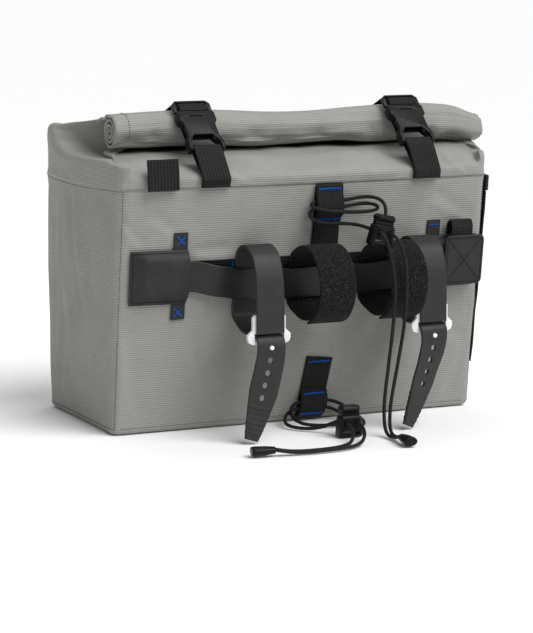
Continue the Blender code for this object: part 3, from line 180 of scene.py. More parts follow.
# Slack of the cloth: waves a metre along each axis (for the roll: along it and an angle), height and shift
BODY_SOFT = ((16.0, 16.0, 16.0), 0.0009)
BODY_SOFT_FINE = ((38.0, 38.0, 38.0), 0.0004, (5.0, 0.0, 2.0))
BODY_FOLDS = ((55.0, 55.0, 9.0), 0.0005)
COLLAR_FOLDS = ((40.0, 26.0, 60.0), 0.0011, (0.0, 0.0, 3.0))
COLLAR_SOFT = ((22.0, 22.0, 22.0), 0.0010)
ROLL_SAG = ((16.0, 0.9, 0.0), 0.0022, (0.0, 0.0, 1.0))
ROLL_PULL = ((8.0, 4.5, 0.0), 0.0013, (0.0, 0.0, 7.0))
POCKET_SOFT = ((45.0, 0.0, 45.0), 0.0003)
FLAP_SOFT = ((60.0, 60.0, 0.0), 0.0007, (0.0, 0.0, 3.0))
# Heights over which the slack starts above the base, at the body's seam and above it on the collar
BASE_FADE = 0.012
SEAM_FADE = 0.010
COLLAR_FADE = 0.008
# How far the sewn edges stand out at the seam
BODY_EDGE = 0.0004
COLLAR_EDGE = 0.0007

# Seams of the cloth
SEAM_LAP = 0.0008
BASE_SEAM_RISE = 0.0052
CORNER_SPAN = (0.004, SEAM_HEIGHT - 0.001)
CORNER_RAYS = 120
EDGE_RAY_STEP = 0.002
SIDE_RAYS = 80
HEM_RAYS = 80
RAY_START = 0.05
# The hem's place on the roll, and the stretch of it that is sewn, in degrees
HEM_INSET = 0.0125
HEM_ARC = (150.0, 400.0)

# The roll's spiral
FINE_TURNS = 3.3
ROLL_START = math.radians(42)
# The outer turn is slacker than the turns inside it
OUTER_TURN = 0.9
INNER_SLACK = 0.45

# Threads: length, gap and thickness of a stitch
CORNER_STITCH = (0.0014, 0.0010, 0.00055)
EDGE_STITCH = (0.0014, 0.0010, 0.00045)
HEM_STITCH = (0.0016, 0.0012, 0.0006)
TACK_STITCH = (0.0016, 0.0001, 0.0006)
CROSS_STITCH = (0.0015, 0.00015, 0.0009)
PATCH_STITCH = (0.0015, 0.0010, 0.0007)
FLAP_CROSS_STITCH = (0.0015, 0.0008, 0.0006)
TACK_PITCH = 0.0011
UPPER_TACK = (WEBBING_WIDTH * 0.84, 0.0022)
LOWER_TACK = (WEBBING_WIDTH * 0.80, 0.0020)
TAB_TACK = (TAB_WIDTH * 0.68, 0.0016)
BELT_TACKS = (
    # side, x, height above the belt's middle, width, height
    ("left", -0.0720, 0.0080, 0.0014, 0.0075),
    ("right", 0.0350, 0.0090, 0.0014, 0.0060),
)
SEWN_STEP = 0.0015
STITCH_RINGS = (
    # length share, thickness share, rise (share of the thickness)
    (0.0, 0.35, -0.3),
    (0.22, 1.0, 0.45),
    (0.78, 1.0, 0.45),
    (1.0, 0.35, -0.3),
)

# Height share, and the share of each bulge that shows at that height
BODY_LEVELS = (
    # height, front, side, back
    (0.00, 0.00, 0.00, 0.00),
    (0.02, 0.00, 0.02, 0.02),
    (0.12, 0.12, 0.30, 0.30),
    (0.26, 0.30, 0.60, 0.60),
    (0.40, 0.48, 0.80, 0.85),
    (0.54, 0.64, 0.92, 1.00),
    (0.68, 0.78, 1.00, 1.05),
    (0.84, 0.92, 1.02, 1.05),
    (1.00, 1.00, 1.00, 1.00),
)

# The body's rounded foot, in shares of its rounding
BASE_FOOT = (
    # height, inset
    (0.00, 1.00),
    (0.12, 0.55),
    (0.35, 0.24),
    (0.65, 0.06),
    (1.00, 0.00),
)

# Soft dents and swells of the handlebar panel, and of the left side panel
PANEL_DENTS = (
    # across (share of half width), height share, spread share, depth (share of the panel bulge)
    (-0.62, 0.86, 0.10, 0.22),
    (-0.55, 0.30, 0.13, -0.26),
    (0.10, 0.86, 0.12, 0.20),
    (0.55, 0.28, 0.14, -0.24),
    (0.88, 0.45, 0.10, 0.22),
)

SIDE_DENTS = (
    # across (share of half depth), height share, spread share, depth (share of the side bulge)
    (-0.45, 0.62, 0.13, 0.24),
    (0.35, 0.42, 0.15, 0.22),
    (0.05, 0.80, 0.12, -0.16),
)

# The gusset's rim, from the handlebar side to the far side, and how far the cup inside it dips
GUSSET_RIM = (
    # depth share, rise (share of the ridge's rise)
    (0.00, 0.45),
    (0.15, 0.54),
    (0.35, 0.54),
    (0.55, 0.57),
    (0.72, 0.70),
    (0.88, 0.90),
    (1.00, 1.00),
)
CUP_DIP = 0.006
# Sine of the angle at which the roll's outer turn starts
ROLL_START_RISE = 0.67

# The roll's shape along its length
ROLL_SECTIONS = (
    # length share, height scale, depth scale, lift (share of the roll's radius)
    (0.00, 0.93, 0.98, 0.00),
    (0.05, 0.96, 1.00, 0.02),
    (0.12, 1.00, 1.00, 0.04),
    (0.20, 1.00, 1.00, 0.00),
    (0.30, 0.97, 1.00, -0.04),
    (0.42, 0.93, 1.02, -0.10),
    (0.55, 0.92, 1.00, -0.10),
    (0.67, 0.97, 0.99, -0.06),
    (0.77, 1.00, 1.00, 0.00),
    (0.86, 1.05, 1.05, -0.06),
    (0.93, 0.98, 1.04, -0.16),
    (1.00, 0.72, 0.88, -0.40),
)

# The roof's cloth on its way to the roll: behind and above the roll's axis
ROLL_LEAD = ((0.0290, 0.0080), (0.0250, 0.0102), (0.0205, 0.0120), (0.0165, 0.0124))

# Dents of the roll: its cloth hangs slack between the buckles
ROLL_DENTS = (
    # x, angle round the roll (degrees, 180 faces the bar, 270 is its foot), half length, half angle, depth
    (-0.146, 222, 0.009, 24, 0.0040),
    (-0.126, 200, 0.006, 26, 0.0026),
    (-0.064, 228, 0.016, 22, 0.0046),
    (-0.034, 196, 0.008, 24, 0.0026),
    (-0.008, 226, 0.012, 24, 0.0040),
    (0.026, 204, 0.010, 22, 0.0028),
    (0.052, 230, 0.012, 24, 0.0044),
    (0.078, 202, 0.006, 26, 0.0026),
    (0.134, 214, 0.006, 26, 0.0034),
    (0.156, 230, 0.009, 24, 0.0040),
)

# Soft creases of the handlebar panel, their ends read off the photograph
PANEL_CREASES = (
    # start x, start z, end x, end z, half width, depth
    (-0.1736, 0.1892, -0.1498, 0.1623, 0.0034, 0.0012),
    (-0.1435, 0.1878, -0.1228, 0.1735, 0.0044, 0.0010),
    (-0.1449, 0.1166, -0.1717, 0.0801, 0.0050, 0.0012),
    (-0.1616, 0.0922, -0.1496, 0.0183, 0.0060, 0.0012),
    (0.1608, 0.0524, 0.1459, 0.0123, 0.0050, 0.0012),
    (-0.1038, 0.1565, -0.0767, 0.1577, 0.0045, 0.0014),
    (0.0240, 0.1950, 0.0700, 0.1640, 0.0070, 0.0007),
    (0.1180, 0.1960, 0.1600, 0.1720, 0.0055, 0.0009),
    (0.1050, 0.0900, 0.1580, 0.0650, 0.0060, 0.0009),
)

# Folds of the collar on the handlebar side
COLLAR_CREASES = (
    # start x, start z, end x, end z, half width, depth
    (-0.0212, 0.2443, -0.0151, 0.2193, 0.0030, 0.0018),
    (-0.0361, 0.2405, -0.0196, 0.2186, 0.0032, 0.0016),
    (-0.0831, 0.2273, -0.0602, 0.2147, 0.0030, 0.0014),
    (-0.0738, 0.2391, -0.0853, 0.2187, 0.0034, 0.0016),
    (0.1198, 0.2350, 0.1309, 0.2189, 0.0028, 0.0016),
    (0.1335, 0.2345, 0.1492, 0.2121, 0.0030, 0.0018),
    (0.0500, 0.2420, 0.0620, 0.2150, 0.0048, 0.0012),
)

# Folds of the two side panels
SIDE_CREASES = (
    # start y, start z, end y, end z, half width, depth
    (-0.060, 0.200, -0.036, 0.120, 0.0060, 0.0016),
    (-0.010, 0.205, -0.030, 0.090, 0.0070, 0.0014),
    (0.030, 0.190, 0.046, 0.070, 0.0080, 0.0016),
    (-0.080, 0.110, -0.040, 0.050, 0.0060, 0.0012),
    (0.010, 0.100, 0.040, 0.030, 0.0070, 0.0012),
)

# A crease keeps its depth up to this share of its length from its middle, and fades over the next share
CREASE_FULL = 0.35
CREASE_FADE = 0.18
# Its raised side: height (share of the depth) and distance (in half widths)
CREASE_LIP = 0.55
CREASE_LIP_AT = 1.7

# Routes of the two cords, given point by point, from the cord end, through the lock and loop, and back again
UPPER_CORD_ROUTE = (
    (0.0345, -0.2012, 0.0050),
    (0.0352, -0.1920, 0.0026),
    (0.0350, -0.1790, 0.0021),
    (0.0362, -0.1718, 0.0090),
    (0.0372, -0.1692, 0.0280),
    (0.0415, -0.1684, 0.0600),
    (0.0452, -0.1690, 0.0930),
    (0.0465, -0.1700, 0.1250),
    (0.0425, -0.1700, 0.1500),
    (0.0385, -0.1680, 0.1655),
    (0.03726, -0.1615, 0.17101),
    (0.03726, -0.1430, 0.17101),
    (0.0352, -0.1335, 0.1728),
    (0.0280, -0.1260, 0.1745),
    (0.0180, -0.1205, 0.1745),
    (0.0050, -0.1188, 0.1750),
    (-0.0050, -0.1168, 0.1780),
    (-0.0095, -0.1155, 0.1830),
    (-0.0060, -0.1148, 0.1870),
    (0.0000, -0.1146, 0.1876),
    (0.0245, -0.1146, 0.1876),
    (0.0360, -0.1155, 0.1895),
    (0.0480, -0.1180, 0.1905),
    (0.0560, -0.1215, 0.1885),
    (0.0545, -0.1260, 0.1855),
    (0.0400, -0.1260, 0.1840),
    (0.0200, -0.1240, 0.1845),
    (0.0020, -0.1220, 0.1865),
    (-0.0080, -0.1188, 0.1900),
    (-0.0068, -0.1149, 0.1926),
    (0.0000, -0.1144, 0.1928),
    (0.0245, -0.1144, 0.1928),
    (0.0340, -0.1155, 0.1945),
    (0.0460, -0.1210, 0.1965),
    (0.0555, -0.1320, 0.1930),
    (0.0545, -0.1370, 0.1810),
    (0.0490, -0.1390, 0.1715),
    (0.04674, -0.1430, 0.16899),
    (0.04674, -0.1615, 0.16899),
    (0.0495, -0.1690, 0.1650),
    (0.0545, -0.1712, 0.1500),
    (0.0565, -0.1712, 0.1250),
    (0.0555, -0.1692, 0.0930),
    (0.0500, -0.1686, 0.0600),
    (0.0435, -0.1692, 0.0280),
    (0.0410, -0.1718, 0.0090),
    (0.0392, -0.1790, 0.0021),
    (0.0386, -0.1920, 0.0026),
    (0.0380, -0.2012, 0.0050),
)

LOWER_CORD_ROUTE = (
    (-0.0790, -0.2040, 0.0048),
    (-0.0660, -0.2062, 0.0024),
    (-0.0460, -0.2078, 0.0021),
    (-0.0220, -0.2050, 0.0021),
    (-0.0050, -0.1945, 0.0030),
    (0.0020, -0.1810, 0.0095),
    (0.00415, -0.1690, 0.0125),
    (0.00415, -0.1510, 0.0125),
    (0.0020, -0.1410, 0.0080),
    (-0.0080, -0.1300, 0.0024),
    (-0.0210, -0.1160, 0.0021),
    (-0.0240, -0.1020, 0.0036),
    (-0.0150, -0.0890, 0.0095),
    (-0.0050, -0.0845, 0.0118),
    (0.0020, -0.0838, 0.0120),
    (0.0220, -0.0838, 0.0120),
    (0.0310, -0.0875, 0.0098),
    (0.0375, -0.0980, 0.0032),
    (0.0340, -0.1120, 0.0021),
    (0.0200, -0.1190, 0.0021),
    (0.0020, -0.1170, 0.0021),
    (-0.0120, -0.1060, 0.0032),
    (-0.0150, -0.0965, 0.0085),
    (-0.0110, -0.0875, 0.0156),
    (-0.0040, -0.0850, 0.0174),
    (0.0030, -0.0846, 0.0175),
    (0.0220, -0.0846, 0.0175),
    (0.0330, -0.0870, 0.0165),
    (0.0440, -0.0980, 0.0070),
    (0.0470, -0.1130, 0.0020),
    (0.0380, -0.1290, 0.0020),
    (0.0215, -0.1410, 0.0075),
    (0.0152, -0.1475, 0.0118),
    (0.01385, -0.1515, 0.0125),
    (0.01385, -0.1690, 0.0125),
    (0.0120, -0.1830, 0.0095),
    (0.0020, -0.1990, 0.0030),
    (-0.0180, -0.2100, 0.0021),
    (-0.0460, -0.2120, 0.0021),
    (-0.0670, -0.2100, 0.0024),
    (-0.0795, -0.2075, 0.0048),
)
UPPER_CORD_POINTS = 288
LOWER_CORD_POINTS = 200

BATTEN_ROUTE = (
    # across (share of the pocket centre), drop (share of the batten's width), out (1 over the loops)
    (-1.08, 0.02, 0.0),
    (-0.95, 0.02, 0.0),
    (-0.80, 0.00, 0.0),
    (-0.60, 0.20, 1.0),
    (-0.50, 0.32, 1.0),
    (-0.30, 0.38, 1.0),
    (0.00, 0.38, 1.0),
    (0.30, 0.36, 1.0),
    (0.60, 0.28, 1.0),
    (0.80, 0.12, 1.0),
    (0.98, 0.04, 0.0),
    (1.08, 0.02, 0.0),
)

POCKET_ROWS = (
    # height (share of the half height), rise of the patch
    (-1.00, 0.0),
    (-0.86, 0.28),
    (-0.72, 0.82),
    (-0.61, 1.0),
    (0.00, 1.0),
    (0.61, 1.0),
    (0.72, 0.82),
    (0.86, 0.28),
    (1.00, 0.0),
)

# Flap over the right pocket
FLAP_WIDTH = 0.0390
FLAP_HEIGHT = 0.0440
FLAP_THICK = 0.0024
FLAP_RADIUS = 0.0050
FLAP_SHIFT = 0.0070
FLAP_X = POCKET_CENTRE + FLAP_SHIFT
FLAP_RISE = 0.0235
FLAP_TOP = BELT_HEIGHT + FLAP_RISE
FLAP_STANDOFF = 0.0056
FLAP_WEBBING_WIDTH = 0.0205
FLAP_WEBBING_RISE = 0.0125
FLAP_MIDDLE = FLAP_TOP - FLAP_HEIGHT / 2
FLAP_STITCH_INSET = 0.0024
FLAP_EDGE = (
    # inset from the outline, height (share of the half thickness)
    (0.0, 0.10),
    (0.0003, 0.60),
    (0.0008, 0.92),
    (0.0016, 1.00),
    (0.0022, 0.86),
    (0.0026, 0.84),
    (0.0032, 0.96),
    (0.0050, 1.00),
    (0.0080, 1.00),
    (0.0120, 1.00),
    (0.0160, 1.00),
)

UPPER_LOOP = (
    # height above the belt's top (share of the gap to the seam), distance out in webbing thicknesses
    (0.03, 0.50),
    (0.40, 0.50),
    (0.75, 0.50),
    (0.97, 0.50),
    (1.00, 1.10),
    (0.97, 1.75),
    (0.90, 2.10),
    (0.80, 3.60),
    (0.70, 5.00),
    (0.61, 5.30),
    (0.56, 4.20),
    (0.53, 2.60),
    (0.49, 1.80),
    (0.43, 1.75),
)

LOWER_LOOP = (
    # height (share of the lower webbing's top), distance out in webbing thicknesses
    (1.00, 0.50),
    (0.60, 0.50),
    (0.30, 0.50),
    (0.08, 0.50),
    (0.04, 1.20),
    (0.08, 2.30),
    (0.13, 3.90),
    (0.20, 4.90),
    (0.30, 4.95),
    (0.37, 4.20),
    (0.43, 2.30),
    (0.50, 1.75),
)
LOWER_WEBBING_TOP = 0.0560
LOWER_WEBBING_LEAN = 0.0070
LOWER_WEBBING_SHIFT = 0.0010
# Stitches across the centre webbings: height (share of the webbing's run)
UPPER_TACKS = (0.93, 0.50)
LOWER_TACKS = (0.93, 0.43, 0.12)

# Seam tab and side strip
SEAM_TAB_X = -POCKET_CENTRE
SEAM_TAB_WIDTH = 0.0275
SEAM_TAB_HEIGHT = 0.0255
SIDE_STRIP_WIDTH = 0.0200
STRIP_MARGIN = 0.0090
SIDE_STRIP_LOW = 0.0400
SIDE_LOOP_LENGTH = 0.014

# Across a band: place (share of the half width) and the share of the half thickness there
BAND_SECTION = (
    (-1.0, 0.30), (-0.985, 0.72), (-0.955, 0.95), (-0.90, 1.0), (-0.60, 1.0), (-0.30, 1.0), (0.0, 1.0),
    (0.30, 1.0), (0.60, 1.0), (0.90, 1.0), (0.955, 0.95), (0.985, 0.72), (1.0, 0.30),
)

# The camera, floor and light of the reference photograph
CAMERA_AT = (-0.893, -1.948, 0.404)
CAMERA_AIM = (0.007, 0.0, 0.0795)
CAMERA_LENS = 138.8
FLOOR_REACH = 40.0
FLOOR_LEVEL = -0.0006
WORLD_STRENGTH = 0.34
SUN_FROM = (0.55, -1.00, 1.35)
SUN_STRENGTH = 2.85
SUN_SOFTNESS = math.radians(48)
RIM_AT = (0.1, 0.5, 1.6)
RIM_AIM = (0.0, 0.0, 0.12)
RIM_SIZE = (1.2, 0.5)
RIM_POWER = 5.0


# Scene helpers

def scene_object(name, data):
    obj = bpy.data.objects.new(name, data)
    bpy.context.scene.collection.objects.link(obj)
    return obj


def surface_of(obj):
    """An object's surface, for seating other pieces on it."""
    return BVHTree.FromPolygons([v.co.copy() for v in obj.data.vertices],
                                [tuple(p.vertices) for p in obj.data.polygons])


def build(name, verts, faces, look, uvs=None):
    """A smooth mesh object. uvs are given for each vertex."""
    mesh = bpy.data.meshes.new(name)
    mesh.from_pydata([tuple(v) for v in verts], [], faces)
    if uvs:
        layer = mesh.uv_layers.new(name="cloth")
        for loop in mesh.loops:
            layer.data[loop.index].uv = uvs[loop.vertex_index]
    mesh.update()
    mesh.shade_smooth()
    mesh.set_sharp_from_angle(angle=SHARP_ANGLE)
    mesh.materials.append(LOOKS[look])
    return scene_object(name, mesh)


def settle(obj, slot, *replaced, body=BAG):
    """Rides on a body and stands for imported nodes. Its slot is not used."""
    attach(obj, body)
    if replaced:
        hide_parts(*replaced)
    return obj


def apply_modifiers(obj):
    bpy.context.view_layer.update()
    graph = bpy.context.evaluated_depsgraph_get()
    mesh = bpy.data.meshes.new_from_object(obj.evaluated_get(graph))
    old = obj.data
    obj.modifiers.clear()
    obj.data = mesh
    bpy.data.meshes.remove(old)
    return obj


def thicken(obj, thickness):
    """Gives a sheet its thickness, inwards from its faces."""
    modifier = obj.modifiers.new("Solidify", "SOLIDIFY")
    modifier.thickness = thickness
    modifier.offset = -1.0
    return apply_modifiers(obj)


def bevel(obj, width, segments, angle):
    """Breaks the edges that are sharper than an angle in degrees."""
    modifier = obj.modifiers.new("Bevel", "BEVEL")
    modifier.width = width
    modifier.segments = segments
    modifier.limit_method = "ANGLE"
    modifier.angle_limit = math.radians(angle)
    return apply_modifiers(obj)


def face_outwards(obj):
    sheet = bmesh.new()
    sheet.from_mesh(obj.data)
    bmesh.ops.recalc_face_normals(sheet, faces=sheet.faces)
    sheet.to_mesh(obj.data)
    sheet.free()
    return obj


def band_faces(rows, size, closed=True, base=0):
    """The faces between rows of points that are numbered row by row from base."""
    faces = []
    for low in range(base, base + (rows - 1) * size, size):
        for j in range(size if closed else size - 1):
            k = (j + 1) % size
            faces.append((low + j, low + k, low + size + k, low + size + j))
    return faces


def nearest_hit(trees, start, direction):
    """Where a ray first meets one of the surfaces: place, normal, face and distance."""
    hits = [tree.ray_cast(start, direction) for tree in trees]
    return min((hit for hit in hits if hit[0]), key=lambda hit: hit[3], default=None)


# Numbers and curves

def lerp(a, b, share):
    return a + (b - a) * share


def wave_at(place, waves, height, shift=(0.0, 0.0, 0.0)):
    """A smooth random rise or dip at a place."""
    return noise.noise(Vector([p * wave + by for p, wave, by in zip(place, waves, shift)])) * height


def clamp(value):
    return min(max(value, 0.0), 1.0)


def soft_step(share):
    share = clamp(share)
    return share * share * (3 - 2 * share)


def between(values, at):
    """The value at a place that may lie between two entries of a list."""
    low = min(int(at), len(values) - 2)
    return lerp(values[low], values[low + 1], at - low)


def curve_between(before, start, end, after, t):
    """A value or point between start and end, on a smooth curve through all four."""
    return 0.5 * (2 * start + (end - before) * t + (2 * before - 5 * start + 4 * end - after) * t ** 2
                  + (3 * start - before - 3 * end + after) * t ** 3)


def curve_value(table, column, share):
    """The value in a table's column at a share between its rows, on a smooth curve through the rows."""
    last = len(table) - 1
    low = next((i for i in range(last) if share <= table[i + 1][0]), last - 1)
    rows = (max(low - 1, 0), low, low + 1, min(low + 2, last))
    step = clamp((share - table[low][0]) / (table[low + 1][0] - table[low][0]))
    return curve_between(*(table[row][column] for row in rows), step)


def table_value(table, column, share):
    """The value in a table's column at a share between its rows, eased from row to row."""
    for low, high in zip(table, table[1:]):
        if share <= high[0]:
            return lerp(low[column], high[column], soft_step((share - low[0]) / (high[0] - low[0])))
    return table[-1][column]


def refined(points, steps):
    """Points on a smooth curve through the given ones, with the same number between each two."""
    knots = [Vector(p) for p in points]
    knots = [knots[0] * 2 - knots[1]] + knots + [knots[-1] * 2 - knots[-2]]
    fine = [curve_between(*knots[i - 1:i + 3], step / steps)
            for i in range(1, len(knots) - 2) for step in range(steps)]
    return fine + [knots[-2]]


def running_lengths(path):
    """How far along a path each of its points lies."""
    lengths = [0.0]
    for a, b in zip(path, path[1:]):
        lengths.append(lengths[-1] + (b - a).length)
    return lengths


def smooth_path(points, count):
    """Evenly spaced points on a smooth curve through the given ones."""
    dense = refined(points, CURVE_STEPS)
    lengths = running_lengths(dense)
    path = []
    at = 0
    for i in range(count):
        target = lengths[-1] * i / (count - 1)
        while at < len(lengths) - 2 and lengths[at + 1] < target:
            at += 1
        share = (target - lengths[at]) / max(lengths[at + 1] - lengths[at], 1e-9)
        path.append(dense[at].lerp(dense[at + 1], share))
    return path


# Materials

LOOKS = {}
GREY = (0.288, 0.292, 0.271)
RIB = 170.0


def scaled(colour, factor):
    return tuple(min(value * factor, 1.0) for value in colour)


class Paint:
    """A procedural material, built up node by node."""

    def __init__(self, name, colour, roughness, specular, sheen=0.0):
        self.material = bpy.data.materials.new(name)
        self.material.use_nodes = True
        self.material.diffuse_color = (*colour, 1.0)
        self.nodes = self.material.node_tree.nodes
        self.links = self.material.node_tree.links
        self.shader = self.nodes["Principled BSDF"]
        self.shader.inputs["Base Color"].default_value = (*colour, 1.0)
        self.shader.inputs["Roughness"].default_value = roughness
        self.shader.inputs["Specular IOR Level"].default_value = specular
        self.shader.inputs["Sheen Weight"].default_value = sheen
        self.shader.inputs["Sheen Roughness"].default_value = 0.4
        self.colour = (*colour, 1.0)
        self.normal = None
        self.place = self.nodes.new("ShaderNodeTexCoord")
        LOOKS[name] = self.material

    def fill(self, node, **values):
        """Sets a node's sockets by name: a number on the socket itself, another socket by a link."""
        for name, value in values.items():
            socket = node.inputs[name.replace("_", " ").title()]
            if isinstance(value, bpy.types.NodeSocket):
                self.links.new(value, socket)
            else:
                socket.default_value = value
        return node

    def add(self, kind, **values):
        return self.fill(self.nodes.new("ShaderNode" + kind), **values)

    def coords(self, kind="Object", scale=(1.0, 1.0, 1.0)):
        return self.add("Mapping", vector=self.place.outputs[kind], scale=scale).outputs["Vector"]

    def noise(self, vector, scale, detail=3.0, roughness=0.5):
        return self.add("TexNoise", vector=vector, scale=scale, detail=detail,
                        roughness=roughness).outputs["Fac"]

    def bands(self, vector, scale, axis, distortion):
        node = self.add("TexWave", vector=vector, scale=scale, distortion=distortion, detail=1.0,
                        detail_scale=3.0)
        node.bands_direction = axis
        return node.outputs["Fac"]

    def cells(self, vector, scale):
        return self.add("TexVoronoi", vector=vector, scale=scale).outputs["Distance"]

    def times(self, a, b):
        node = self.nodes.new("ShaderNodeMath")
        node.operation = "MULTIPLY"
        self.links.new(a, node.inputs[0])
        self.links.new(b, node.inputs[1])
        return node.outputs["Value"]

    def tint(self, factor, low, high, colour):
        """Mixes a colour over what is there, from a low to a high value of a factor."""
        share = self.add("MapRange", value=factor, from_min=low, from_max=high).outputs["Result"]
        node = self.nodes.new("ShaderNodeMix")
        node.data_type = "RGBA"
        self.fill(node, factor=share, a=self.colour, b=(*colour, 1.0))
        self.colour = node.outputs["Result"]
        self.links.new(self.colour, self.shader.inputs["Base Color"])

    def rough(self, factor, low, high):
        """Lets the roughness go from low to high with a factor."""
        node = self.add("MapRange", value=factor, to_min=low, to_max=high)
        self.links.new(node.outputs["Result"], self.shader.inputs["Roughness"])

    def bump(self, height, distance, strength):
        """Raises the surface over what is there."""
        below = {"normal": self.normal} if self.normal else {}
        node = self.add("Bump", height=height, distance=distance, strength=strength, **below)
        self.normal = node.outputs["Normal"]
        self.links.new(self.normal, self.shader.inputs["Normal"])


def make_fabric():
    """Coated grey cloth with a fine ribbed weave, soft blotches and a few lighter rubbed places."""
    paint = Paint("fabric", scaled(GREY, 1.12), 0.66, 0.20, 0.04)
    flat = paint.coords("UV")
    ribs = paint.bands(flat, RIB, "Y", 0.25)
    cross = paint.bands(flat, RIB * 1.3, "X", 0.4)
    blotch = paint.noise(paint.coords(), 22.0, 5.0, 0.6)
    fine = paint.noise(paint.coords(scale=(1.0, 1.0, 2.4)), 900.0, 2.0)
    paint.tint(ribs, 0.35, 1.35, scaled(GREY, 0.60))
    paint.tint(cross, 0.50, 2.4, scaled(GREY, 0.66))
    paint.tint(blotch, 0.50, 1.20, scaled(GREY, 0.66))
    paint.tint(fine, 0.52, 1.25, scaled(GREY, 1.40))
    paint.rough(blotch, 0.52, 0.74)
    paint.bump(paint.noise(paint.coords(), 95.0), 0.0006, 0.35)
    paint.bump(ribs, 0.00030, 0.7)
    paint.bump(fine, 0.00012, 0.4)


def make_webbing():
    """Black woven tape: ribs across its length, threads along it, lighter where they cross: partly the weave's
    pattern, partly a painted highlight on the lit ribs.
    """
    black = (0.0060, 0.0060, 0.0064)
    paint = Paint("webbing", black, 0.62, 0.16, 0.02)
    along = paint.coords("UV")
    ribs = paint.bands(along, 200.0, "Y", 0.5)
    threads = paint.bands(along, 110.0, "X", 0.3)
    grain = paint.noise(along, 2600.0, 2.0)
    # Painted highlight: where ribs and threads cross the black is lightened, for light on the ribs' crests as
    # well as the weave's own lighter threads
    paint.tint(paint.times(ribs, threads), 0.25, 1.0, scaled(black, 6.0))
    paint.tint(grain, 0.55, 1.2, scaled(black, 4.0))
    paint.bump(ribs, 0.00045, 0.9)
    paint.bump(threads, 0.00025, 0.7)


PLAIN = dict(kind="noise", stretch=(1.0, 1.0, 1.0), tint=None, rough=None, bump=None)
TWIST = dict(setting=(2400.0, 2.0), bump=(0.0001, 0.7))
GRAINS = {
    # the look: (colour, roughness, specular, sheen), then its grains, each with what it does:
    # tint (low, high, colour), rough (low, high), bump (distance, strength)
    "patch": (((0.021, 0.0205, 0.021), 0.50, 0.26), (
        dict(setting=(60.0, 4.0), tint=(0.48, 1.1, (0.046, 0.045, 0.045)), rough=(0.48, 0.66)),
        dict(setting=(620.0, 4.0, 0.6), bump=(0.00025, 0.6)))),
    "batten": (((0.012, 0.012, 0.013), 0.34, 0.34), (
        dict(setting=(160.0,), stretch=(0.15, 1.0, 2.2),
             tint=(0.45, 1.2, (0.030, 0.030, 0.032)), rough=(0.28, 0.46), bump=(0.00015, 0.4)),)),
    "rubber": (((0.022, 0.022, 0.023), 0.48, 0.28), (
        dict(setting=(75.0, 4.0), tint=(0.48, 1.3, (0.044, 0.044, 0.045)), rough=(0.42, 0.60)),
        dict(setting=(1500.0, 3.0, 0.7), tint=(0.56, 1.1, (0.062, 0.062, 0.064)),
             bump=(0.00012, 0.6)))),
    "plastic": (((0.0050, 0.0050, 0.0055), 0.30, 0.18), (
        dict(setting=(110.0, 4.0), tint=(0.50, 1.4, (0.016, 0.016, 0.018)), rough=(0.24, 0.42)),
        dict(setting=(1900.0, 2.0), bump=(0.00006, 0.5)))),
    "white": (((0.80, 0.81, 0.82), 0.30, 0.5), (
        dict(setting=(240.0, 4.0), tint=(0.50, 1.3, (0.58, 0.60, 0.62)), rough=(0.22, 0.44)),)),
    "pile": (((0.0065, 0.0065, 0.0070), 0.90, 0.08, 0.04), (
        dict(setting=(480.0, 4.0, 0.75), tint=(0.50, 0.86, (0.036, 0.036, 0.038)),
             bump=(0.0009, 0.9)),
        dict(kind="cells", setting=(1150.0,), tint=(0.62, 1.2, (0.085, 0.085, 0.086)), bump=(0.0004, 0.8)))),
    "cord": (((0.0075, 0.0075, 0.0080), 0.60, 0.18, 0.02), (
        dict(kind="bands", setting=(420.0, "DIAGONAL", 1.5), tint=(0.55, 1.8, (0.040, 0.040, 0.042)),
             bump=(0.0003, 0.7)),
        dict(setting=(1300.0, 2.0), tint=(0.58, 1.1, (0.070, 0.070, 0.072)),
             bump=(0.0002, 0.6)))),
    "thread_blue": (((0.002, 0.130, 0.720), 0.60, 0.15), (
        TWIST | dict(tint=(0.50, 1.2, (0.01, 0.30, 0.92))),)),
    "thread_dark": (((0.0070, 0.0070, 0.0070), 0.75, 0.08), (
        TWIST | dict(tint=(0.50, 1.2, (0.022, 0.022, 0.021))),)),
    "floor": (((0.97, 0.97, 0.97), 0.9, 0.1), (
        dict(setting=(3.0, 2.0), tint=(0.4, 1.6, (0.96, 0.96, 0.96))),)),
}


def make_looks():
    make_fabric()
    make_webbing()
    for name, (surface, grains) in GRAINS.items():
        paint = Paint(name, *surface)
        textures = {"noise": paint.noise, "cells": paint.cells, "bands": paint.bands}
        for grain in grains:
            grain = PLAIN | grain
            factor = textures[grain["kind"]](paint.coords(scale=grain["stretch"]), *grain["setting"])
            for effect, apply in (("tint", paint.tint), ("rough", paint.rough), ("bump", paint.bump)):
                if grain[effect]:
                    apply(factor, *grain[effect])


# Bands with a finely rounded section, and stitches

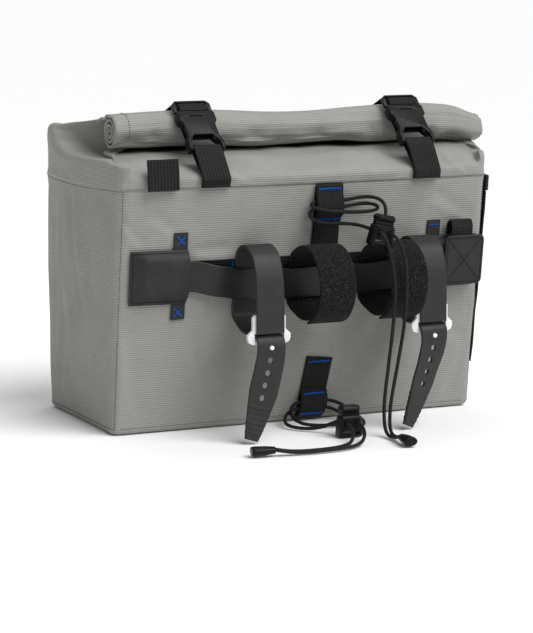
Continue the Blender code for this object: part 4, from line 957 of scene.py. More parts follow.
def ribbon(name, path, across, width, thickness, look, detail=3, ripple=None, packed=True):
    """A woven or moulded band with rounded edges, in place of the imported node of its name."""
    fine = refined(path, detail)
    last = len(fine) - 1
    lengths = running_lengths(fine)
    sides = across if isinstance(across, list) else [Vector(across)] * len(path)
    widths = width if isinstance(width, list) else [width] * len(path)
    verts, uvs = [], []
    for i, point in enumerate(fine):
        along = fine[min(i + 1, last)] - fine[max(i - 1, 0)]
        side = between(sides, i / detail).normalized()
        normal = side.cross(along).normalized()
        side = along.cross(normal).normalized()
        half = between(widths, i / detail) / 2
        thick = thickness / 2 * (1.0 + (ripple(lengths[i], lengths[-1]) if ripple else 0.0))
        for face in (1, -1):
            for share, level in BAND_SECTION:
                verts.append(point + side * half * share * face + normal * face * thick * level)
                uvs.append((half * share * face, lengths[i]))
    rows = len(BAND_SECTION)
    size = 2 * rows
    faces = band_faces(last + 1, size)
    for base in (0, last * size):
        for j in range(rows - 1):
            quad = (base + j, base + j + 1, base + size - 2 - j, base + size - 1 - j)
            faces.append(quad[::-1] if base == 0 else quad)
    made = face_outwards(build(name + "_piece", verts, faces, look, uvs))
    return settle(made, "rubber" if look == "batten" else look, *([name] if packed else []))


def stitches(name, path, normals, stitch, look, slot):
    """A row of raised threads along a path. normals point away from the cloth, one for each point."""
    length, gap, thickness = stitch
    lengths = running_lengths(path)
    verts, faces = [], []

    def at(distance):
        for i, (low, high) in enumerate(zip(lengths, lengths[1:])):
            if distance <= high:
                share = (distance - low) / max(high - low, 1e-9)
                return path[i].lerp(path[i + 1], share), normals[i].lerp(normals[i + 1], share)
        return path[-1], normals[-1]

    distance = gap / 2
    while distance + length < lengths[-1]:
        first, up = at(distance)
        along = at(distance + length)[0] - first
        if along.length > 1e-6:
            up = up.normalized()
            side = along.cross(up).normalized()
            base = len(verts)
            for share, size, rise in STITCH_RINGS:
                centre = first + along * share + up * rise * thickness
                for angle in range(0, 360, 60):
                    turn = math.radians(angle)
                    verts.append(centre + side * math.cos(turn) * thickness / 2 * size
                                 + up * math.sin(turn) * thickness / 2 * size)
            faces += band_faces(len(STITCH_RINGS), 6, base=base)
            faces.append(tuple(base + j for j in reversed(range(6))))
            faces.append(tuple(base + 18 + j for j in range(6)))
        distance += length + gap
    made = face_outwards(build(name, verts, faces, look))
    return settle(made, slot)


def sew(name, rays, trees, stitch, look, slot):
    """Stitches where rays meet the nearest surface. A ray is its start, direction and, if known, normal."""
    path, normals = [], []
    for start, direction, normal in rays:
        hit = nearest_hit(trees, start, direction)
        if hit:
            path.append(hit[0])
            facing = hit[1] if hit[1].dot(direction) < 0 else -hit[1]
            normals.append(facing if normal is None else normal)
    if len(path) > 1:
        stitches(name, path, normals, stitch, look, slot)


def sewn_line(name, points, stitch, look, tree, slot="webbing"):
    """Stitches between points (x, z) on the handlebar side of a surface."""
    rays = []
    for a, b in zip(points, points[1:]):
        steps = max(int(math.dist(a, b) / SEWN_STEP), 2)
        for i in range(steps + 1):
            start = Vector((lerp(a[0], b[0], i / steps), -1.0, lerp(a[1], b[1], i / steps)))
            rays.append((start, Vector((0, 1, 0)), None))
    sew(name, rays, [tree], stitch, look, slot)


def bar_tack(name, x, z, width, height, tree):
    """A dense zigzag of blue thread."""
    count = max(int(width / TACK_PITCH), 4)
    points = [(x + (i / count - 0.5) * width, z + (height if i % 2 else -height) / 2)
              for i in range(count + 1)]
    sewn_line(name, points, TACK_STITCH, "thread_blue", tree)


def cross_stitch(name, x, z, size, tree):
    for index, side in enumerate((1, -1)):
        ends = [(x - size / 2, z - side * size / 2), (x + size / 2, z + side * size / 2)]
        sewn_line(f"{name}_{index}", ends, CROSS_STITCH, "thread_blue", tree)


def cut(obj, cutter):
    modifier = obj.modifiers.new("Cut", "BOOLEAN")
    modifier.object = cutter
    modifier.operation = "DIFFERENCE"
    apply_modifiers(obj)
    bpy.data.objects.remove(cutter, do_unlink=True)
    return obj


def rod(name, diameter, start, end):
    """A round bar between two points, to cut a hole with."""
    mesh = bpy.data.meshes.new(name)
    bar = bmesh.new()
    bmesh.ops.create_cone(bar, cap_ends=True, segments=28, radius1=diameter / 2,
                          radius2=diameter / 2, depth=(end - start).length)
    turn = (end - start).to_track_quat("Z", "Y").to_matrix().to_4x4()
    bmesh.ops.transform(bar, matrix=Matrix.Translation((start + end) / 2) @ turn, verts=bar.verts)
    bar.to_mesh(mesh)
    bar.free()
    return scene_object(name, mesh)


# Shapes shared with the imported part

def height_share(z):
    return clamp(z / SEAM_HEIGHT)


def near_edge(share):
    """Where the leaning handlebar panel stands at a share of the seam's height."""
    return NEAR_BASE - PANEL_LEAN * share


def bulge_out(depth, column, share, across):
    """How far a panel stands out at a share of the seam's height and across its half width."""
    return depth * curve_value(BODY_LEVELS, column, share) * max(1 - across ** 2, 0.0)


def dents(table, across, share, bulge):
    """Soft dents and swells, fading out at the base and the seam."""
    total = sum(depth * bulge * math.exp(-((across - u) ** 2 + (share - v) ** 2) / spread ** 2)
                for u, v, spread, depth in table)
    return total * min(1.0, share * 4.0) * (1.0 - share ** 6)


def panel_y(x, z):
    share, across = height_share(z), 2 * x / WIDTH
    return (near_edge(share) - bulge_out(PANEL_BULGE, 1, share, across)
            + dents(PANEL_DENTS, across, share, PANEL_BULGE))


def back_y(x, z):
    return FAR + bulge_out(BACK_BULGE, 3, height_share(z), 2 * x / WIDTH)


def side_x(y, z, side):
    share = height_share(z)
    near = near_edge(share)
    across = 2 * (y - near) / (FAR - near) - 1
    if side > 0:
        return WIDTH / 2 + bulge_out(RIGHT_SIDE_BULGE, 2, share, across)
    dent = dents(SIDE_DENTS, across, share, SIDE_BULGE)
    return -(WIDTH / 2 + bulge_out(SIDE_BULGE, 2, share, across) - dent)


def body_ring(z, inset=0.0):
    """Points round the body at one height, from the left end of the handlebar panel."""
    near = near_edge(height_share(z))
    half = WIDTH / 2 - CORNER_RADIUS
    low, high = near + CORNER_RADIUS, FAR - CORNER_RADIUS
    points = []

    def edge(first, last, spans, place):
        points.extend(place(lerp(first, last, step / spans)) for step in range(spans + 1))

    def corner(cx, cy, start):
        for step in range(1, CORNER_SPANS):
            angle = math.radians(start + 90 * step / CORNER_SPANS)
            points.append((cx + CORNER_RADIUS * math.cos(angle), cy + CORNER_RADIUS * math.sin(angle)))

    edge(-half, half, PANEL_SPANS, lambda x: (x, panel_y(x, z)))
    corner(half, low, 270)
    edge(low, high, SIDE_SPANS, lambda y: (side_x(y, z, 1), y))
    corner(half, high, 0)
    edge(half, -half, PANEL_SPANS, lambda x: (x, back_y(x, z)))
    corner(-half, high, 90)
    edge(high, low, SIDE_SPANS, lambda y: (side_x(y, z, -1), y))
    corner(-half, low, 180)
    middle_y = (near + FAR) / 2
    ring = []
    for x, y in points:
        shrink_x = inset if abs(x) > half - 0.001 else inset * abs(x) / (WIDTH / 2)
        shrink_y = inset * abs(y - middle_y) / ((FAR - near) / 2)
        ring.append(Vector((x - math.copysign(shrink_x, x), y - math.copysign(shrink_y, y - middle_y), z)))
    return ring


def roll_drop(share):
    """How much lower the back of the roll lies at a share of its length than its axis says."""
    tall, lift = (curve_value(ROLL_SECTIONS, column, share) for column in (1, 3))
    return ROLL_RADIUS * (lift + (tall - 1) * ROLL_START_RISE)


def collar_front(x, y, along):
    """From the seam up the handlebar side and in under the roll, with a slack wave."""
    neck_x = lerp(ROLL_LEFT, ROLL_RIGHT, along)
    slack = 0.0025 * math.sin(along * 23.0)
    return [(x, y, COLLAR_FOOT), (x, y - 0.0004, COLLAR_FOOT + 0.010),
            (lerp(x, neck_x, 0.3), lerp(y, NECK_FRONT[0], 0.35), COLLAR_FOOT + 0.019 + slack),
            (lerp(x, neck_x, 0.7), lerp(y, NECK_FRONT[0], 0.72), COLLAR_FOOT + 0.0245),
            (neck_x, *NECK_FRONT)]


def collar_back(x, y, along):
    """From the seam up the far side, over the ridge and along the roof to the roll."""
    neck_x = lerp(ROLL_LEFT, ROLL_RIGHT, along)
    ridge_z = SEAM_HEIGHT + RIDGE_RISE
    return [(x, y, COLLAR_FOOT), (x, y + 0.001, COLLAR_FOOT + 0.022), (x, y - 0.003, ridge_z - 0.006),
            (x, y - 0.014, ridge_z + 0.0005),
            (lerp(x, neck_x, 0.4), 0.018, ridge_z + 0.0055 - 0.002 * abs(2 * along - 1)),
            (neck_x, NECK_BACK[0], NECK_BACK[1] + roll_drop(along))]


def collar_gusset(x, y):
    """From the seam up to the gusset's rim, down into its cup and in to the tuck of the neck."""
    share = (y - near_edge(1.0)) / (FAR - near_edge(1.0))
    rim_share = clamp(share)
    side = math.copysign(1.0, x)
    end_x = ROLL_LEFT if side < 0 else ROLL_RIGHT
    tuck = Vector((end_x - side * GUSSET_TUCK, *NECK_TUCK))
    if share < 0.5:
        neck = Vector((end_x, *NECK_FRONT)).lerp(tuck, share / 0.5)
    else:
        back = Vector((end_x, NECK_BACK[0], NECK_BACK[1] + roll_drop(0.5 + side / 2)))
        neck = tuck.lerp(back, (share - 0.5) / 0.5)
    start = Vector((x, y, COLLAR_FOOT))
    rim = Vector((x - side * 0.001, y, SEAM_HEIGHT + RIDGE_RISE * table_value(GUSSET_RIM, 1, rim_share)))
    dip = Vector((0.0, 0.0, CUP_DIP * math.sin(math.pi * rim_share)))
    lower = start.lerp(rim, 0.5) + Vector((side * 0.0008, 0.0, 0.0))
    return [start, lower, rim, rim.lerp(neck, 0.22) - dip * 0.4, rim.lerp(neck, 0.55) - dip, neck]


def collar_paths():
    """For each point of the seam's ring, the route of the cloth from the seam up to the neck."""
    paths = []
    for x, y, _ in body_ring(SEAM_HEIGHT):
        along = (x + WIDTH / 2) / WIDTH
        if abs(x) > WIDTH / 2 - CORNER_RADIUS - 0.0005:
            paths.append(collar_gusset(x, y))
        else:
            paths.append(collar_front(x, y, along) if y < 0 else collar_back(x, y, along))
    return paths


# Pieces that lie on the cloth

def seat_y(x, z, half, trees):
    """The outermost surface on the handlebar side, at one height and within half a width of x."""
    starts = [Vector((x + half * step / 4, -1.0, z)) for step in range(-4, 5)]
    hits = [nearest_hit(trees, start, Vector((0, 1, 0))) for start in starts]
    return min((hit[0].y for hit in hits if hit), default=1.0)


def on_panel(x, z, out, half=WEBBING_WIDTH / 2):
    """A point that stands a distance out from the handlebar panel."""
    return Vector((x, seat_y(x, min(z, SEAM_HEIGHT - 2 * GAP), half, [BODY]) - out, z))


def along_panel(x, z, width, out, half):
    """The middle of a band that lies on the panel, and the direction across it, up the panel."""
    low, middle, high = (seat_y(x, z + width * share, half, [BODY]) for share in (-0.5, 0.0, 0.5))
    bow = max((low + high) / 2 - middle, 0.0)
    return Vector((x, (low + high) / 2 - bow - out, z)), Vector((0.0, high - low, width))


def make_belt():
    """Ribbed webbing sewn along the panel, between the two pockets."""
    reach = POCKET_CENTRE - POCKET_WIDTH / 2 + POCKET_MARGIN * 0.5
    count = 20
    out = SEAT + WEBBING_THICK / 2
    rows = [along_panel(lerp(-reach, reach, i / count), BELT_HEIGHT, BELT_WIDTH, out, 0.0)
            for i in range(count + 1)]
    ribbon("belt_webbing", [row[0] for row in rows], [row[1] for row in rows], BELT_WIDTH, WEBBING_THICK,
           "webbing")
    for word, x, rise, *size in BELT_TACKS:
        bar_tack("belt_tack_" + word, x, BELT_HEIGHT + rise, *size, tree_of("belt_webbing"))


def batten_out(share):
    """How far the batten's middle stands out: 0 on the belt, 1 over the rubber loops."""
    near_panel = ON_WEBBING + BATTEN_THICK / 2
    return lerp(near_panel, near_panel + RUBBER_THICK + SEAT, share)


def make_batten():
    """Smooth stiffening strip that the four loops wrap round."""
    count = 29
    rows = []
    for i in range(count + 1):
        across = lerp(BATTEN_ROUTE[0][0], BATTEN_ROUTE[-1][0], i / count)
        z = BELT_HEIGHT - table_value(BATTEN_ROUTE, 1, across) * BATTEN_WIDTH
        out = table_value(BATTEN_ROUTE, 2, across)
        rows.append(along_panel(across * POCKET_CENTRE, z, BATTEN_WIDTH, batten_out(out), HOOK_WIDTH * out))
    ribbon("batten", [row[0] for row in rows], [row[1] for row in rows], BATTEN_WIDTH, BATTEN_THICK, "batten")


def lower_webbing_x(share):
    """The lower webbing leans a little: its middle at a share of its height."""
    return CENTRE_X + LOWER_WEBBING_SHIFT + LOWER_WEBBING_LEAN * (share - 0.5)


def make_centre_webbing():
    """The two webbings with a tunnel for each cord, and their blue stitches."""
    rise = SEAM_HEIGHT - GAP - BELT_TOP
    upper = [on_panel(CENTRE_X, BELT_TOP + share * rise, SEAT + out * WEBBING_THICK)
             for share, out in UPPER_LOOP]
    lower = []
    for share, out in LOWER_LOOP:
        x, z = lower_webbing_x(share), share * LOWER_WEBBING_TOP
        seat = on_panel(x, max(z, BASE_ROUNDING * 1.6), SEAT + out * WEBBING_THICK)
        lower.append(Vector((x, seat.y, z)))
    for word, path in (("upper", smooth_path(upper, 30)), ("lower", smooth_path(lower, 26))):
        ribbon(word + "_centre_webbing", path, (1, 0, 0), WEBBING_WIDTH, WEBBING_THICK, "webbing")
    tree = tree_of("upper_centre_webbing")
    for index, share in enumerate(UPPER_TACKS):
        bar_tack(f"upper_tack_{index}", CENTRE_X, lerp(BELT_TOP, SEAM_HEIGHT, share), *UPPER_TACK, tree)
    tree = tree_of("lower_centre_webbing")
    for index, share in enumerate(LOWER_TACKS):
        z = LOWER_WEBBING_TOP * share
        bar_tack(f"lower_tack_{index}", lower_webbing_x(share), z, *LOWER_TACK, tree)


def make_seam_tab():
    """Square folded webbing tab that stands up from the seam at the left."""
    thick = WEBBING_THICK * 2.1
    foot_y = min(seat_y(SEAM_TAB_X, SEAM_HEIGHT + rise * 0.001, SEAM_TAB_WIDTH / 2, [BODY, COLLAR])
                 for rise in range(-1, 16))
    foot = Vector((SEAM_TAB_X, foot_y - SEAT - thick / 2, SEAM_HEIGHT - 0.0005))
    head = foot + Vector((0.0, 0.002, SEAM_TAB_HEIGHT))
    ribbon("seam_tab", [foot, foot.lerp(head, 0.5) + Vector((0, -0.0008, 0)), head], (1, 0, 0),
           SEAM_TAB_WIDTH, thick, "webbing")


def strip_y(z):
    """The strip's middle: it keeps to the leaning front edge of the side panel."""
    return near_edge(z / SEAM_HEIGHT) + STRIP_MARGIN + SIDE_STRIP_WIDTH / 2


def on_side(z, out):
    """A point of the side strip's middle that stands a distance out from the right side panel."""
    found = 0.0
    for step in range(-4, 5):
        start = Vector((1.0, strip_y(z) + SIDE_STRIP_WIDTH * step / 8, min(z, SEAM_HEIGHT - 2 * GAP)))
        hit = BODY.ray_cast(start, Vector((-1, 0, 0)))
        if hit[0]:
            found = max(found, hit[0].x)
    return Vector((found + out, strip_y(z), z))


def make_side_strip():
    """Vertical webbing on the right side panel, ending in a small folded loop at the seam."""
    count = 10
    top = SEAM_HEIGHT - SIDE_LOOP_LENGTH
    path = [on_side(lerp(SIDE_STRIP_LOW, top, i / count), SEAT + WEBBING_THICK / 2) for i in range(count + 1)]
    ribbon("side_strip", path, (0, 1, 0), SIDE_STRIP_WIDTH, WEBBING_THICK, "webbing")
    low, high = (on_side(z, SEAT + WEBBING_THICK * 1.1) for z in (top + 2 * GAP, SEAM_HEIGHT - GAP))
    ribbon("side_loop", [low, low.lerp(high, 0.5), high], (0, 1, 0), SIDE_STRIP_WIDTH, WEBBING_THICK * 2.0,
           "webbing")


# Handlebar loops

def grip(done, total):
    """Ribs across the end of a rubber strap's tail."""
    left = total - done
    if left > GRIP_LENGTH or left < 0.003:
        return 0.0
    return 0.62 * (0.5 - 0.5 * math.cos(2 * math.pi * left / GRIP_PITCH)) - 0.10


def rubber_route(x, tail_drift):
    """Lip, over the bar, down behind the batten, through the buckle and down the tail."""
    def back_at(z):
        return on_panel(x, z, ON_WEBBING + RUBBER_THICK / 2).y

    back = back_at(BAR_HEIGHT)
    front = back - RUBBER_DEPTH + RUBBER_THICK
    middle = (front + back) / 2
    top, low = BAR_HEIGHT + RUBBER_RISE, BAR_HEIGHT - RUBBER_RISE
    return [
        (x, front - 0.0005, low - 0.0030),
        (x, front - 0.0004, low + 0.011),
        (x, front + 0.0002, low + 0.032),
        (x, front + 0.0030, low + 0.047),
        (x, front + 0.0100, top - 0.0065),
        (x, middle + 0.0015, top),
        (x, back - 0.0090, top - 0.0035),
        (x, back_at(top - 0.0110), top - 0.0110),
        (x, back_at(BAR_HEIGHT + 0.010), BAR_HEIGHT + 0.010),
        (x, back_at(BAR_HEIGHT - 0.004), BAR_HEIGHT - 0.004),
        (x, back_at(low + 0.0150), low + 0.0150),
        (x, back_at(low + 0.0060) - 0.0015, low + 0.0060),
        (x, back - 0.0130, low - 0.0035),
        (x, middle - 0.0020, low - 0.0052),
        (x, front + 0.0080, low - 0.0052),
        (x, front + 0.0025, low - 0.0058),
        (x, front - 0.0012, low - 0.0090),
        (x, front - 0.0022, low - 0.0150),
        (x + tail_drift * 0.06, front - 0.0024, low - 0.0260),
        (x + tail_drift * 0.42, front - 0.0040, low - 0.0520),
        (x + tail_drift * 0.78, front - 0.0050, low - 0.0760),
        (x + tail_drift * 1.00, front - 0.0055, 0.0030),
    ]


def rubber_strap(name, x, tail_drift, tail_twist):
    """Rubber strap with a twisted, tapering tail and a row of holes, one above the buckle's frame."""
    path = smooth_path(rubber_route(x, tail_drift), RUBBER_POINTS)
    lengths = running_lengths(path)
    across, widths = [], []
    for done in lengths:
        left = lengths[-1] - done
        turn = tail_twist * clamp(1 - (left - TAIL_LENGTH * 0.55) / (TAIL_LENGTH * 0.35))
        across.append(Vector((math.cos(turn), math.sin(turn), 0.0)))
        widths.append(lerp(RUBBER_WIDTH * TAIL_TIP_SHARE, RUBBER_WIDTH, min(left / TAIL_TAPER, 1.0) ** 0.85))
    strap = ribbon(name, path, across, widths, RUBBER_THICK, "rubber", 4, grip)
    second_z = BAR_HEIGHT - RUBBER_RISE - FRAME_DROP - HOLE_BELOW_FRAME
    below = next(i for i in range(RUBBER_POINTS // 2, RUBBER_POINTS) if path[i].z < second_z)
    drop = (path[below - 1].z - second_z) / (path[below - 1].z - path[below].z)
    second = lerp(lengths[below - 1], lengths[below], drop)
    for hole in range(HOLE_COUNT):
        at = second + (hole - 1) * HOLE_PITCH - (0.0 if hole else FIRST_HOLE_GAP)
        index = next(i for i, done in enumerate(lengths) if done >= at) - 1
        share = (at - lengths[index]) / (lengths[index + 1] - lengths[index])
        spot = path[index].lerp(path[index + 1], share)
        reach = across[index].cross(path[index + 1] - path[index]).normalized() * RUBBER_THICK * 2
        cut(strap, rod(f"{name}_hole_{hole}", HOLE_DIAMETER, spot - reach, spot + reach))


def make_hook_loop(name, x):
    """Hook-and-loop strap wound round the bar's place, behind the batten, its free end lapped over."""
    def back_at(z):
        return on_panel(x, z, ON_WEBBING + HOOK_THICK / 2, HOOK_WIDTH / 2).y

    centre_y = back_at(BAR_HEIGHT) - HOOK_RADIUS + HOOK_THICK * 0.7
    inner = HOOK_RADIUS - HOOK_THICK - 0.0006
    path = []
    for i in range(HOOK_STEPS + 1):
        degrees = lerp(*HOOK_TURN, i / HOOK_STEPS)
        angle = math.radians(degrees)
        lap = clamp((degrees - HOOK_LAP[0]) / (HOOK_LAP[1] - HOOK_LAP[0]))
        radius = lerp(HOOK_RADIUS, inner, lap) - HOOK_THICK / 2
        z = BAR_HEIGHT + radius * math.sin(angle)
        y = min(centre_y - radius * math.cos(angle), back_at(z))
        if 90 < degrees < 270:
            away = (abs(z - BAR_HEIGHT) - BATTEN_WIDTH * 0.62) / (BATTEN_WIDTH * 0.40)
            y = lerp(back_at(z), y, clamp(away))
        path.append(Vector((x, y, z)))
    ribbon(name, path, (1, 0, 0), HOOK_WIDTH, HOOK_THICK, "pile")


# Closures

def buckle_frame(x):
    """Matrix of a closure's buckle: it leans against the roll, tangent to it."""
    out = Vector((0.0, -1.0, 1.0)).normalized()
    up = Vector((0.0, 1.0, 1.0)).normalized()
    centre = Vector((x, ROLL_Y, ROLL_Z))
    foot = centre + out * (ROLL_RADIUS + SEAT + BUCKLE_THICK / 2) - up * (BUCKLE_LENGTH + 0.0002)
    turn = Matrix((Vector((1, 0, 0)), up, out)).transposed().to_4x4()
    return Matrix.Translation(foot) @ turn


def make_lower_tab(name, x, matrix):
    """Webbing from the seam up, round the buckle's bar and back down."""
    lay = (BUCKLE_THICK - BUCKLE_BODY_THICK) / 2 + SEAT + WEBBING_THICK / 2
    crest = BUCKLE_BAR + SEAT + WEBBING_THICK / 2 + 0.0007

    def up_collar(rise, out):
        y = seat_y(x, SEAM_HEIGHT + max(rise, 2 * GAP), WEBBING_WIDTH / 2, [BODY, COLLAR])
        return Vector((x, y - out - LEAVE_COLLAR * rise, SEAM_HEIGHT + rise))

    def round_bar(places):
        return [matrix @ Vector((0.0, y, z)) for y, z in places]

    inner = SEAT + WEBBING_THICK / 2
    outer = inner + WEBBING_THICK + GAP
    rises = (0.0008, 0.0030, 0.0060, 0.0095)
    front_up = [up_collar(rise, outer) for rise in rises]
    behind_up = [up_collar(rise, inner) for rise in reversed(rises)]
    front = round_bar(((-0.009, lay * 0.80), (-0.003, lay), (0.0010, lay), (crest - 0.0011, lay * 0.90),
                       (crest, 0.0)))
    behind = round_bar(((crest - 0.0011, -lay * 0.90), (0.0010, -lay), (-0.003, -lay), (-0.009, -lay * 0.80)))
    path = (smooth_path(front_up + front[:1], 9) + front[1:] + behind[:-1]
            + smooth_path(behind[-1:] + behind_up, 9))
    ribbon(name, path, (1, 0, 0), WEBBING_WIDTH, WEBBING_THICK, "webbing")


def outer_distance(x, origin, direction):
    """How far the bag's cloth reaches from a point inside it, near x."""
    found = 0.0
    for offset in (-0.5, -0.25, 0.0, 0.25, 0.5):
        start = Vector((x + offset * WEBBING_WIDTH, origin.y, origin.z)) + direction * 0.2
        hit = nearest_hit([BODY, COLLAR, ROLL], start, -direction)
        if hit:
            found = max(found, (hit[0] - start + direction * 0.2).dot(direction))
    return found


def make_closure_strap(name, x, matrix):
    """Webbing from the buckle's ladder bars, back over the roof and down the far panel."""
    low = BUCKLE_LENGTH + GAP
    bar = LADDER_BAR
    clear = (LADDER_LENGTH - 3 * bar) / 2
    high = low + LADDER_LENGTH
    mid = low + bar + clear
    over = LADDER_THICK / 2 + SEAT + WEBBING_THICK / 2
    weave = (
        # along the buckle, out from its middle
        (low + bar * 0.25, over * 0.94),
        (mid - clear * 0.3, over),
        (mid + bar * 0.4, over),
        (mid + bar + clear * 0.16, over * 0.92),
        (mid + bar + clear * 0.5, 0.0),
        (high - bar - clear * 0.16, -over * 0.92),
        (high - bar * 0.4, -over),
        (high + 0.0012, -over),
    )
    start = [matrix @ Vector((0.0, y, z)) for y, z in weave]
    origin = Vector((x, ROLL_Y / 2 + 0.02, SEAM_HEIGHT + 0.004))
    out = SEAT + WEBBING_THICK / 2 + 0.0004
    over_roof = []
    for degrees in range(114, -19, -4):
        angle = math.radians(degrees)
        direction = Vector((0.0, math.cos(angle), math.sin(angle)))
        reach = outer_distance(x, origin, direction)
        over_roof.append(origin + direction * (reach + out / max(0.80, abs(direction.y), abs(direction.z))))
    path = smooth_path(start, 13) + smooth_path(start[-1:] + over_roof, 36)[1:]
    ribbon(name, path, (1, 0, 0), WEBBING_WIDTH, WEBBING_THICK, "webbing")


# Cloth of the body, the collar and the roll

def crease_depth(table, a, b):
    """How deep creases, each a line with one raised side, are at a place on a panel."""
    total = 0.0
    for a0, b0, a1, b1, half, depth in table:
        da, db = a1 - a0, b1 - b0
        size = math.hypot(da, db)
        along = ((a - a0) * da + (b - b0) * db) / (size * size)
        away = ((a - a0) * db - (b - b0) * da) / size / half
        ends = math.exp(-(max(abs(along - 0.5) - CREASE_FULL, 0.0) / CREASE_FADE) ** 2)
        lip = CREASE_LIP * math.exp(-(away - CREASE_LIP_AT) ** 2)
        total += depth * ends * (math.exp(-away ** 2) - lip)
    return total


def cloth_relief(point, normal):
    """How far slack cloth stands out from its even shape: soft blotches, long folds and creases."""
    soft = wave_at(point, *BODY_SOFT) + wave_at(point, *BODY_SOFT_FINE)
    fold = wave_at(point, *BODY_FOLDS)
    low = min(point.z / BASE_FADE, 1.0)
    if normal.y < -0.7:
        return low * (soft * 0.5 + fold * 0.2 - crease_depth(PANEL_CREASES, point.x, point.z))
    if abs(normal.x) > 0.7:
        return low * (soft + fold * 1.5 - crease_depth(SIDE_CREASES, point.y, point.z))
    return low * (soft + fold)


def relieve(obj, amount):
    """Moves each vertex along its normal by amount(point, normal)."""
    normals = [v.normal.copy() for v in obj.data.vertices]
    for vert, normal in zip(obj.data.vertices, normals):
        vert.co += normal * amount(vert.co, normal)
    obj.data.update()
    return obj


def cloth_lengths(rings, along_ring):
    """Lengths over a sheet for its weave: (along the ribs, across the ribs) at each vertex."""
    climb = [0.0] * len(rings[0])
    lengths = []
    for i, ring in enumerate(rings):
        run = 0.0
        for j, point in enumerate(ring):
            if i:
                climb[j] += (point - rings[i - 1][j]).length
            if j:
                run += (point - ring[j - 1]).length
            lengths.append((climb[j], run) if along_ring else (run, climb[j]))
    return lengths


def loft(name, rings, look, closed=True, first_cap=False, uvs=None):
    """A cloth sheet through rings of equal length."""
    size = len(rings[0])
    faces = band_faces(len(rings), size, closed)
    if first_cap:
        faces.append(tuple(reversed(range(size))))
    return build(name, [p for ring in rings for p in ring], faces, look, uvs)


def body_cloth():
    """The body's four panels and its base, with a rounded foot."""
    rings = [body_ring(BASE_ROUNDING * rise, BASE_ROUNDING * inset) for rise, inset in BASE_FOOT]
    rings += [body_ring(lerp(BASE_ROUNDING, SEAM_HEIGHT - GAP, level / FINE_LEVELS))
              for level in range(1, FINE_LEVELS + 1)]
    uvs = cloth_lengths(rings, False)
    body = face_outwards(loft("bag_body_cloth", rings, "fabric", first_cap=True, uvs=uvs))

    def amount(point, normal):
        return lerp(BODY_EDGE, cloth_relief(point, normal), min((SEAM_HEIGHT - point.z) / SEAM_FADE, 1.0))

    relieve(body, amount)
    thicken(body, WALL)
    return settle(body, "fabric", "bag_body")


def collar_cloth():
    """The softer cloth above the seam, with its roof and its two tucked gussets."""
    paths = [smooth_path(path, COLLAR_BANDS + 1) for path in collar_paths()]
    rings = [[path[i] for path in paths] for i in range(COLLAR_BANDS + 1)]
    for point in rings[0]:
        point.z -= SEAM_LAP
    collar = loft("collar_cloth", rings, "fabric", uvs=cloth_lengths(rings, False))

    def amount(point, normal):
        slack = wave_at(point, *COLLAR_FOLDS) + wave_at(point, *COLLAR_SOFT)
        if normal.y < -0.4:
            slack -= crease_depth(COLLAR_CREASES, point.x, point.z)
        return lerp(COLLAR_EDGE, slack, min((point.z - SEAM_HEIGHT) / COLLAR_FADE, 1.0))

    relieve(collar, amount)
    thicken(collar, COLLAR_WALL)
    return settle(collar, "fabric", "collar")


def roll_dent(x, angle):
    """How deep the dents are at a place on the roll's surface."""
    degrees = math.degrees(angle) % 360
    return sum(depth * math.exp(-((x - at_x) / half) ** 2 - ((degrees - at_angle) / spread) ** 2)
               for at_x, at_angle, half, spread, depth in ROLL_DENTS)


def roll_cloth():
    """The rolled mouth: a spiral of slack cloth, from the roof's edge to its middle."""
    rings = []
    for i in range(ROLL_LENGTHS + 1):
        share = i / ROLL_LENGTHS
        tall, deep = (curve_value(ROLL_SECTIONS, column, share) for column in (1, 2))
        lift = ROLL_RADIUS * curve_value(ROLL_SECTIONS, 3, share)
        x = lerp(ROLL_LEFT, ROLL_RIGHT, share)
        drop = roll_drop(share)
        ring = [Vector((x, ROLL_Y + out, ROLL_Z + up + drop)) for out, up in ROLL_LEAD]
        for step in range(ROLL_STEPS + 1):
            turns = FINE_TURNS * step / ROLL_STEPS
            angle = ROLL_START + 2 * math.pi * turns
            slack = wave_at((x, angle, 0.0), *ROLL_SAG) + wave_at((x, angle, 0.0), *ROLL_PULL)
            slack *= 1.0 if turns < OUTER_TURN else INNER_SLACK
            radius = ROLL_RADIUS - ROLL_PITCH * turns + slack - roll_dent(x, angle)
            ring.append(Vector((x, ROLL_Y + radius * deep * math.cos(angle),
                                ROLL_Z + lift + radius * tall * math.sin(angle))))
        rings.append(ring)
    roll = loft("top_roll_cloth", rings, "fabric", False, uvs=cloth_lengths(rings, True))
    thicken(roll, ROLL_BAND)
    return settle(roll, "fabric", "top_roll")


# Seams of the cloth

def corner_rays(side, facing):
    """Rays onto a corner of the body, from its base up to its seam."""
    rays = []
    outward = Vector((side, facing, 0)).normalized()
    for step in range(CORNER_RAYS):
        z = lerp(*CORNER_SPAN, step / (CORNER_RAYS - 1))
        edge = near_edge(z / SEAM_HEIGHT) if facing < 0 else FAR
        start = Vector((side * (WIDTH / 2 + RAY_START), edge + facing * RAY_START, z))
        rays.append((start, -outward, outward))
    return rays


def edge_rays(z, inset, facing):
    """Rays onto the handlebar side or the far side at one height."""
    reach = WIDTH / 2 - inset
    steps = int(2 * reach / EDGE_RAY_STEP)
    return [(Vector((lerp(-reach, reach, step / steps), facing, z)), Vector((0, -facing, 0)), None)
            for step in range(steps + 1)]


def side_rays(z, side):
    """Rays onto a side panel at one height."""
    outward = Vector((side, 0, 0))
    return [(Vector((side, lerp(near_edge(z / SEAM_HEIGHT), FAR, step / (SIDE_RAYS - 1)), z)), -outward,
             outward) for step in range(SIDE_RAYS)]


